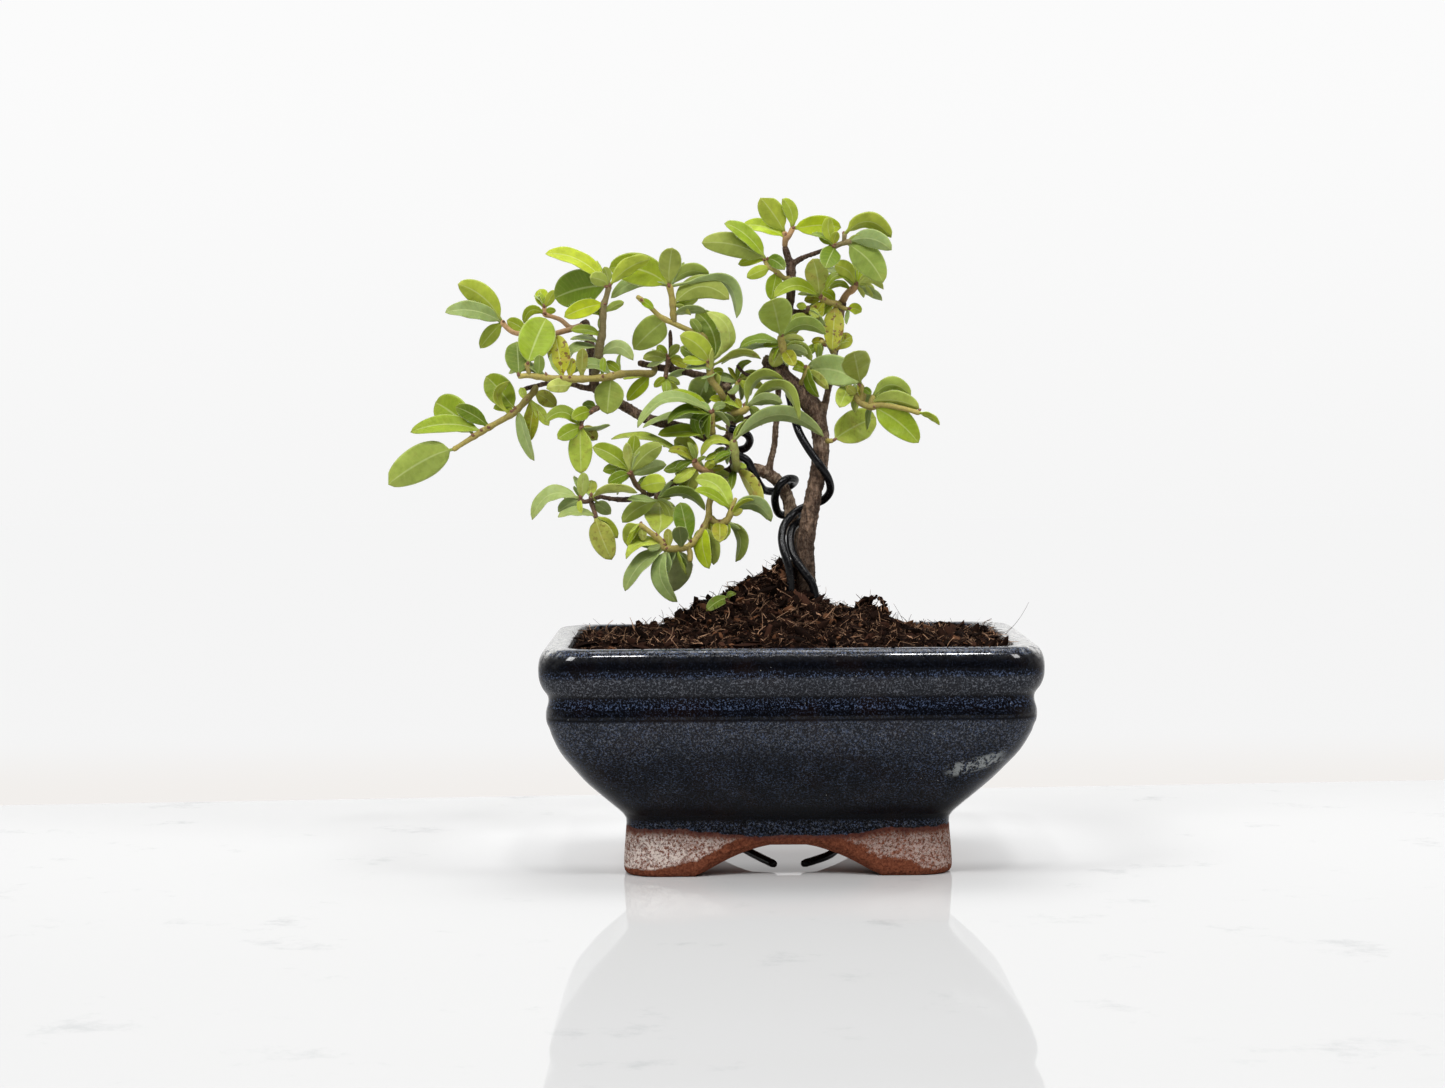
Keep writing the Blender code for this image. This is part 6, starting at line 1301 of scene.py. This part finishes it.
THINNEST = 0.28
# How far apart the solids keep a stem's stops: the first two, and the others.
FIRST_STEP, NEXT_STEPS = 1.9, 4.9


def seated_stem(route):
    """The stem's points outside the wood, and then only those that the solids keep."""
    seated = []
    for spot, radius in route:
        hit, normal, _, away = wood_tree.find_nearest(spot)
        room = math.copysign(away, (spot - hit).dot(normal)) - GAP
        if seated or room > THINNEST:
            seated.append((spot, min(radius, max(room, THINNEST))))
    kept = [seated[0]]
    for spot, radius in seated[1:-1]:
        gap = (spot - kept[-1][0]).length
        if gap > (FIRST_STEP if len(kept) < 2 else NEXT_STEPS):
            kept.append((spot, radius))
    return kept + [seated[-1]]


def nearest_on_stems(stems, x, z):
    """The point of the stems' middle lines closest to (x, z) in the front view."""
    best = None
    for route in stems:
        for i, (start, end) in enumerate(zip(route, route[1:])):
            reach = 0.85 if i == len(route) - 2 else 1.0
            for k in range(5):
                spot = start[0].lerp(end[0], reach * k / 4)
                seen = at_depth(x, z, spot.y)
                apart = math.hypot(seen.x - spot.x, seen.z - spot.z)
                if best is None or apart < best[0]:
                    best = (apart, spot)
    return best[1]


# The leaves: small, firm, entire and pointed, glossy green above with a pale sunken
# midrib, greyer and downy below. Each is folded a little along its midrib.

# Mature, young, dark, olive and pale green, the downy underside, leaves with brown spots,
# and w, a very pale green that is painted light on a leaf hanging in shade: how each
# looks above and below.
LEAF_SHADES = {
    "g": ((0.236, 0.315, 0.014), (0.32, 0.38, 0.070)),
    "y": ((0.360, 0.450, 0.010), (0.40, 0.47, 0.045)),
    "d": ((0.116, 0.188, 0.009), (0.22, 0.29, 0.055)),
    "o": ((0.300, 0.310, 0.018), (0.36, 0.38, 0.070)),
    "p": ((0.395, 0.475, 0.060), (0.46, 0.52, 0.120)),
    "b": ((0.275, 0.360, 0.120), (0.30, 0.380, 0.140)),
    "s": ((0.340, 0.345, 0.018), (0.40, 0.41, 0.070)),
    "w": ((0.600, 0.680, 0.270), (0.66, 0.72, 0.340))}
# How much brown spotting some of them have, and all the others.
SPOTTED, HARDLY_SPOTTED = {"s": 1.0, "o": 0.45, "p": 0.25}, 0.08
SIGHT = Vector((0, 1, 0))
DEPTH_TRIES = [0, -2, 2, -4, 4, -6, 6, -8, 8, -10, 10, -13, 13]
# A blade's points round one section: over its upper face (1) and back below it (-1).
ACROSS = [-1.0, -0.84, -0.6, -0.32, -0.07, 0.07, 0.32, 0.6, 0.84, 1.0]
ROUND = [(1, a) for a in ACROSS] + [(-1, a) for a in reversed(ACROSS)]
# From this chord on, a packed leaf has two bends and a deeper fold.
LARGE_LEAF = 11
# The share of a leaf's length that is stalk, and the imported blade's half thickness.
STALK_END, PACKED_HALF = 0.28, 0.248
# The pale colour of a leaf's stalk, and the least length of a leaf with a bud.
YOUNG = (0.36, 0.38, 0.14)
BUD_FROM = 5
# A bud's stops: how far each lies from its middle, and its radius.
BUD = [(-0.5, 0.336), (0, 0.504), (0.4, 0.462), (0.8, 0.294), (1.1, 0.105)]
HAIRS_PER_MM, STEM_HAIRS_PER_MM = 2.6, 3.5
# A shoot's materials, in the order of their slots.
LEAF, STEM, HAIR = 0, 1, 2
# Hairs have one colour, which is their finish's own.
NO_TINT = (1.0, 1.0, 1.0, 1.0)


def plan_leaf(leaf, stems, chance):
    """A leaf's place in space from how it looks from the front.

    A leaf that looks narrower than its length allows is turned on edge, and one that
    looks shorter than its width allows points towards the eye or away from it.
    """
    base_x, base_z, tip_x, tip_z, width, bow = leaf[:6]
    root = nearest_on_stems(stems, base_x, base_z)
    root += Vector([chance.uniform(-0.15, 0.15) for _ in range(3)])
    chord = math.hypot(tip_x - base_x, tip_z - base_z)
    full = max(width, min(0.44 * chord, 6.2))
    length = max(chord, 1.7 * full)
    lean = math.sqrt(length ** 2 - chord ** 2) * chance.choice((-1, 1))
    lean += chance.uniform(-0.3, 0.3) * chord
    return {"root": root, "base": (base_x, base_z), "tip": (tip_x, tip_z), "bow": bow,
            "width": full, "turn": math.acos(min(1.0, width / full)), "lean": lean,
            "chord": chord, "length": length, "droop": 0.05 * length}


def midrib(plan, shift, shares):
    """Points on a leaf's midrib, with the directions along, across and up."""
    base = at_depth(*plan["base"], plan["root"].y - 0.3)
    tip = at_depth(*plan["tip"], base.y + plan["lean"] + shift)
    run = tip - base
    if abs(run.x) >= abs(run.z):
        off = Vector((-run.z, 0, run.x)).normalized() * math.copysign(1, run.x)
    else:
        off = Vector((run.z, 0, -run.x)).normalized() * math.copysign(1, run.z)
    middle = (base + tip) / 2 + off * 2 * plan["bow"] + Vector((0, 0, 2 * plan["droop"]))
    line = []
    for share in shares:
        spot = (base * (1 - share) ** 2 + middle * 2 * share * (1 - share)
                + tip * share ** 2)
        if share < STALK_END:
            spot += (plan["root"] - base) * (1 - share / STALK_END) ** 2
        run = ((middle - base) * (1 - share) + (tip - middle) * share).normalized()
        flat = run.cross(SIGHT).normalized()
        side = flat * math.cos(plan["turn"]) + run.cross(flat) * math.sin(plan["turn"])
        upper = side.cross(run).normalized()
        if upper.z < 0:
            side, upper = -side, -upper
        if line and side.dot(line[-1][2]) < 0:
            side, upper = -side, -upper
        line.append((spot, run, side, upper))
    return line


def depth_shift(plan, corners):
    """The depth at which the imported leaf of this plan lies, found by its tip."""
    tries = []
    shares = (0.0, STALK_END, 0.66, 1.0) if plan["chord"] > LARGE_LEAF else (0.0, 0.48, 1.0)
    for shift in DEPTH_TRIES:
        spot, _, _, upper = midrib(plan, shift, shares)[-1]
        _, _, miss = corners.find(spot + upper * PACKED_HALF)
        tries.append((miss, shift))
        if miss < 0.05:
            break
    return min(tries)[1]


class Growth(Skin):
    """The skin of one shoot, with each face's material and each point's blade place."""

    def __init__(self):
        super().__init__()
        self.kinds, self.blades = [], []

    def add(self, points, faces, kind, tints, blades=None):
        super().add(points, faces, tints)
        self.kinds += [kind] * len(faces)
        self.blades += blades or [(0.0, 0.0, 0.0)] * len(points)

    def add_blade(self, points, tints, blades):
        """A leaf from its sections, each with its points in the order of ROUND."""
        loops = [points[i:i + len(ROUND)] for i in range(0, len(points), len(ROUND))]
        self.add(*loft(loops), LEAF, tints, blades)
        return loops

    def hair(self, root, run, length, thick):
        """One fine hair: a closed spike of four faces."""
        across = run.orthogonal().normalized()
        foot = circle(root, across, run.cross(across), thick, THIRDS)
        self.add(foot + [root + run * length],
                 [(0, 2, 1), (0, 1, 3), (1, 2, 3), (2, 0, 3)], HAIR, NO_TINT)

    def piece(self, name):
        """The shoot's object. Hairs and tips that pass the solids' box are pressed in."""
        limits = [(low / MM + 0.05, high / MM - 0.05) for low, high in zip(*solid_box)]
        inside = [Vector([min(max(part, low), high) for part, (low, high)
                          in zip(spot, limits)]) for spot in self.points]
        made = make_piece(name, inside, self.faces, leaf_skin)
        for finish in (stem_skin, hair_skin):
            made.data.materials.append(finish.material)
        made.data.polygons.foreach_set("material_index", self.kinds)
        tinted(made, "tint", self.tints)
        blade = made.data.attributes.new("blade", "FLOAT_VECTOR", "POINT")
        blade.data.foreach_set("vector", [part for place in self.blades for part in place])
        face_out(made)
        return made


def blade_width(share, slim):
    """The blade's width at a share of its length, as a part of its greatest width."""
    if share <= 0.07:
        return 0.0
    t = (share - 0.07) / 0.93
    lower, upper = 0.46 + 0.10 * slim, 0.54 + 0.10 * slim
    widest = lower / (lower + upper)
    return (t / widest) ** lower * ((1 - t) / (1 - widest)) ** upper


def grow_leaf(growth, plan, shift, tone, chance):
    """Add one leaf with its stalk, its two faces, its rim and the hairs on its margin."""
    length = plan["length"]
    count = max(11, min(22, round(length * 1.15)))
    shares = [(k / count) ** 0.92 for k in range(count + 1)]
    line = midrib(plan, shift, shares)
    fold = 0.20 if plan["chord"] > LARGE_LEAF else 0.10
    stalk = min(0.5, 0.26 + 0.018 * length)
    slim, wave = chance.uniform(0, 1), chance.uniform(0, 6.28)
    wavy = chance.uniform(0.02, 0.09)
    above, below = LEAF_SHADES[tone]
    vary = chance.uniform(0.82, 1.18)
    warm = chance.uniform(-0.06, 0.06)
    spots = SPOTTED.get(tone, HARDLY_SPOTTED)
    points, tints, blades = [], [], []
    curl = chance.uniform(-0.05, 0.16)
    for share, (spot, run, side, upper) in zip(shares, line):
        half = blade_width(share, slim) * plan["width"] / 2
        flare = clamped(half / stalk - 0.6)
        broad = max(half, stalk * (1 - 0.35 * share))
        if share > 0.9:
            broad = max(half, 0.06)
        thick = 0.20 + 0.22 * (1 - flare) * (1 - share)
        spot = spot - upper * curl * length * 0.25 * share ** 3
        for level, a in ROUND:
            lift = fold * broad * flare * abs(a) ** 1.3
            lift += wavy * broad * flare * math.sin(share * 15 + wave + 1.5 * a) * a * a
            rim = thick * (1 - 0.55 * a * a * flare) * (1 - abs(a) ** 8 * (1 - flare))
            groove = 0.10 * flare * math.exp(-(a / 0.11) ** 2) * min(1, length / 12)
            rise = lift + rim * 0.9 - groove if level > 0 else lift - rim * 0.9 - groove * 1.4
            points.append(spot + side * broad * a + upper * rise)
            shade = above if level > 0 else below
            edge = 1 + 0.10 * abs(a) ** 3
            young = 0.35 * (1 - flare)
            colour = [part * vary * edge * (1 - young) + pale * young
                      for part, pale in zip(shade, YOUNG)]
            colour[0] *= 1 + warm
            tints.append((*colour, spots))
            blades.append((share, a * level, length))
    loops = growth.add_blade(points, tints, blades)
    for _ in range(int(length * HAIRS_PER_MM)):
        i = chance.randrange(2, count - 1)
        edge = len(ACROSS) - 1 if chance.random() < 0.5 else 0
        root = loops[i][edge].lerp(loops[i + 1][edge], chance.random())
        _, run, side, upper = line[i]
        out = side * (1 if edge else -1)
        aim = (out + run * chance.uniform(0.2, 1.4)
               + upper * chance.uniform(-0.5, 0.5)).normalized()
        growth.hair(root - aim * 0.06, aim, chance.uniform(0.3, 0.75), 0.022)


leaf_skin = Finish("cotoneaster_leaf", Subsurface_Weight=0.12, Subsurface_Scale=0.0006,
                   Subsurface_Radius=(0.8, 1.0, 0.3), Specular_IOR_Level=0.20)
tint, spotted = leaf_skin.layer("tint"), leaf_skin.layer("tint", "Alpha")
blade = leaf_skin.layer("blade", "Vector")
along, across, long = (leaf_skin.node("SeparateXYZ", {}, {0: blade}, output=axis)
                       for axis in "XYZ")
from_rib = abs(across)
# Side veins leave the midrib every 1.6 mm and bend towards the tip.
vein_place = (along * long * 0.62 - from_rib * 1.15) % 1.0
vein = 1 - abs(vein_place - 0.5).between(0.03, 0.16)
rib = 1 - from_rib.between(0.02, 0.08)
quilt = abs(vein_place - 0.5) * 2
clouds = leaf_skin.grain(2.6, 3).between(0.3, 0.7)
flecks = leaf_skin.grain(0.7, 4, 0.7).between(0.45, 0.75)
green = leaf_skin.mix(clouds * 0.28, tint, (0.11, 0.16, 0.010))
green = leaf_skin.mix(flecks * 0.16, green, (0.36, 0.38, 0.05))
green = leaf_skin.mix(vein * 0.09, green, (0.42, 0.45, 0.10))
green = leaf_skin.mix(rib * 0.38, green, (0.56, 0.62, 0.28))
green = leaf_skin.mix(along.between(0.72, 1.0) * 0.15, green, (0.44, 0.44, 0.09))
margin = from_rib.between(0.88, 1.0)
green = leaf_skin.mix(margin * 0.45, green, (0.56, 0.62, 0.26))
blots = leaf_skin.grain(1.5, 4, 0.6).between(0.56, 0.62) * spotted
rust = leaf_skin.grain(3.6, 3).between(0.55, 0.68) * spotted
green = leaf_skin.mix(rust * 0.6, green, (0.42, 0.27, 0.065))
green = leaf_skin.mix(blots * 0.85, green, (0.13, 0.045, 0.018))
leaf_skin.set("Base Color", green)
leaf_skin.set("Roughness", 0.38 + clouds * 0.10 + flecks * 0.10)
relief = leaf_skin.bump(quilt, 0.05, 0.4, under=leaf_skin.bump(leaf_skin.grain(2.2, 2),
                                                                0.5, 0.35))
leaf_skin.set("Normal", leaf_skin.bump(leaf_skin.grain(0.35, 3, 0.6), 0.04, 0.6,
                                       under=relief))

stem_skin = Finish("young_stem", Roughness=0.55, Specular_IOR_Level=0.2)
streaks = stem_skin.grain(0.9, 5, 0.7).between(0.35, 0.7)
shade = stem_skin.mix(streaks * 0.40, stem_skin.layer("tint"), (0.15, 0.085, 0.045))
stem_skin.set("Base Color", stem_skin.mix(
    stem_skin.grain(0.3, 3, 0.7).between(0.52, 0.7) * 0.4, shade, (0.52, 0.44, 0.27)))
stem_skin.set("Normal", stem_skin.bump(stem_skin.grain(0.4, 4, 0.7), 0.10, 0.8))

hair_skin = Finish("silky_hair", Roughness=0.45, Subsurface_Weight=0.2,
                   Subsurface_Scale=0.0003)
hair_skin.set("Base Color", hair_skin.mix(hair_skin.grain(3), (0.66, 0.66, 0.56),
                                          (0.85, 0.84, 0.76)))


def small_leaf(leaves, chance):
    """A small leaf beside one of the shoot's leaves, pointing more or less its way.

    Small young leaves, and downy ones seen on edge, fill the gaps round the shoots.
    """
    base_x, base_z, tip_x, tip_z = chance.choice(leaves)[:4]
    heading = math.atan2(tip_z - base_z, tip_x - base_x) + chance.gauss(0, 0.8)
    chord = chance.uniform(3.6, 8.8)
    return (base_x, base_z, base_x + chord * math.cos(heading),
            base_z + chord * math.sin(heading), chord * chance.uniform(0.16, 0.44),
            chord * chance.uniform(-0.14, 0.14), chance.choice("bbbggdypbg"))


def swollen_route(route, plans):
    """A stem's stops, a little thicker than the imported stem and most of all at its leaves."""
    swollen = []
    for spot, radius in route:
        nearest = min((spot - plan["root"]).length for plan, *_ in plans)
        swell = 1.12 + 0.28 * math.exp(-(nearest / 1.1) ** 2)
        swell += 0.06 * noise.noise(spot * 0.8)
        swollen.append((spot, radius * swell))
    return swollen


def grow_stem(growth, route, shade, chance):
    """Add one stem, which gets paler towards its tip, with fine hairs all round it."""
    foot = route[0][0]
    reach = max((spot - foot).length for spot, _ in route)
    points, faces = tube_skin(route, 12)
    tints = []
    for spot in points:
        far = min(1.0, (spot - foot).length / reach)
        tints.append((*[part * (0.55 + 0.5 * far) for part in shade], 1.0))
    growth.add(points, faces, STEM, tints)
    for _ in range(int(reach * STEM_HAIRS_PER_MM)):
        i = chance.randrange(1, len(route) - 1)
        spot, radius = route[i]
        run = (route[i + 1][0] - route[i - 1][0]).normalized()
        turn = Matrix.Rotation(chance.uniform(0, 6.28), 3, run)
        out = (turn @ run.orthogonal().normalized() + run * 0.5).normalized()
        growth.hair(spot + out * radius * 0.85, out, chance.uniform(0.25, 0.6), 0.02)


def grow_bud(growth, plan, shift):
    """Add the small brown bud in the corner between a leaf and its stem."""
    _, run, _, upper = midrib(plan, shift, (0.0, 0.1))[1]
    middle = plan["root"] + upper * 0.75
    lean = (upper + run * 0.8).normalized()
    growth.add(*tube_skin([(middle + lean * far, radius) for far, radius in BUD], 8),
               STEM, (0.22, 0.10, 0.06, 1.0))


# The solids' leaves were laid out with this seed in this order, so these lie over them.
packed_chance = random.Random(18)
chance = random.Random(41)
small_chance = random.Random(5)
for short_name, (swing, stem_shade, extra_leaves, stems, leaves) in SPRAYS.items():
    name = "spray_" + short_name
    foot = stems[0][0]
    corners = tree_of([vertex.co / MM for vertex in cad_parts[name].data.vertices])
    packed_stems = [seated_stem(spray_route(stems[0], foot, swing, 0.5))]
    packed_stems += [spray_route(stem, foot, swing, 5.0) for stem in stems[1:]]
    plans = []
    for leaf in leaves:
        plan = plan_leaf(leaf, packed_stems, packed_chance)
        plans.append((plan, depth_shift(plan, corners), leaf[6]))
    growth = Growth()
    for stem in stems:
        route = swollen_route(spray_route(stem, foot, swing, 0.6), plans)
        grow_stem(growth, route, STEM_SHADES[stem_shade], chance)
    for plan, shift, tone in plans:
        grow_leaf(growth, plan, shift, tone, chance)
        if plan["length"] > BUD_FROM:
            grow_bud(growth, plan, shift)
    for _ in range(extra_leaves):
        leaf = small_leaf(leaves, small_chance)
        plan = plan_leaf(leaf, packed_stems, small_chance)
        grow_leaf(growth, plan, small_chance.uniform(-2, 7), leaf[6], small_chance)
    made = growth.piece(name + "_shoot")
    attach(made, "root")
    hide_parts(name)


# The fallen leaf: a small loose leaf with its partner that has dropped on the left slope
# of the soil and keeps its green.

FALLEN_FACE = Vector((0.05, -0.62, 0.78))
FALLEN_SECTIONS = 13
root = Vector((6.1, -4.4, 82.2))
tips = ((Vector((-0.7, -8.0, 78.5)), 4.7), (Vector((8.6, -4.6, 83.6)), 2.4))
growth = Growth()
for tip, width in tips:
    run = (tip - root).normalized()
    side = run.cross(FALLEN_FACE).normalized()
    upper = side.cross(run)
    base = root - run * 0.7 + upper * 0.1
    points, tints, blades = [], [], []
    for share in (k / (FALLEN_SECTIONS - 1) for k in range(FALLEN_SECTIONS)):
        half = max(blade_width(share, 0.5) * width / 2, 0.07 if share > 0.9 else 0.35)
        spot = base.lerp(tip, share) + upper * 1.2 * math.sin(share * 3.0)
        for level, a in ROUND:
            points.append(spot + side * half * a
                          + upper * (0.16 * level * (1 - 0.5 * a * a) + 0.1 * half * a * a))
            shade = LEAF_SHADES["d"][0 if level > 0 else 1]
            tints.append((*[part * 0.8 for part in shade], 0.2))
            blades.append((share, a * level, 8.0))
    growth.add_blade(points, tints, blades)
loose = growth.piece("fallen_leaf_on_soil")
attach(loose, "root")
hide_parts("fallen_leaf")
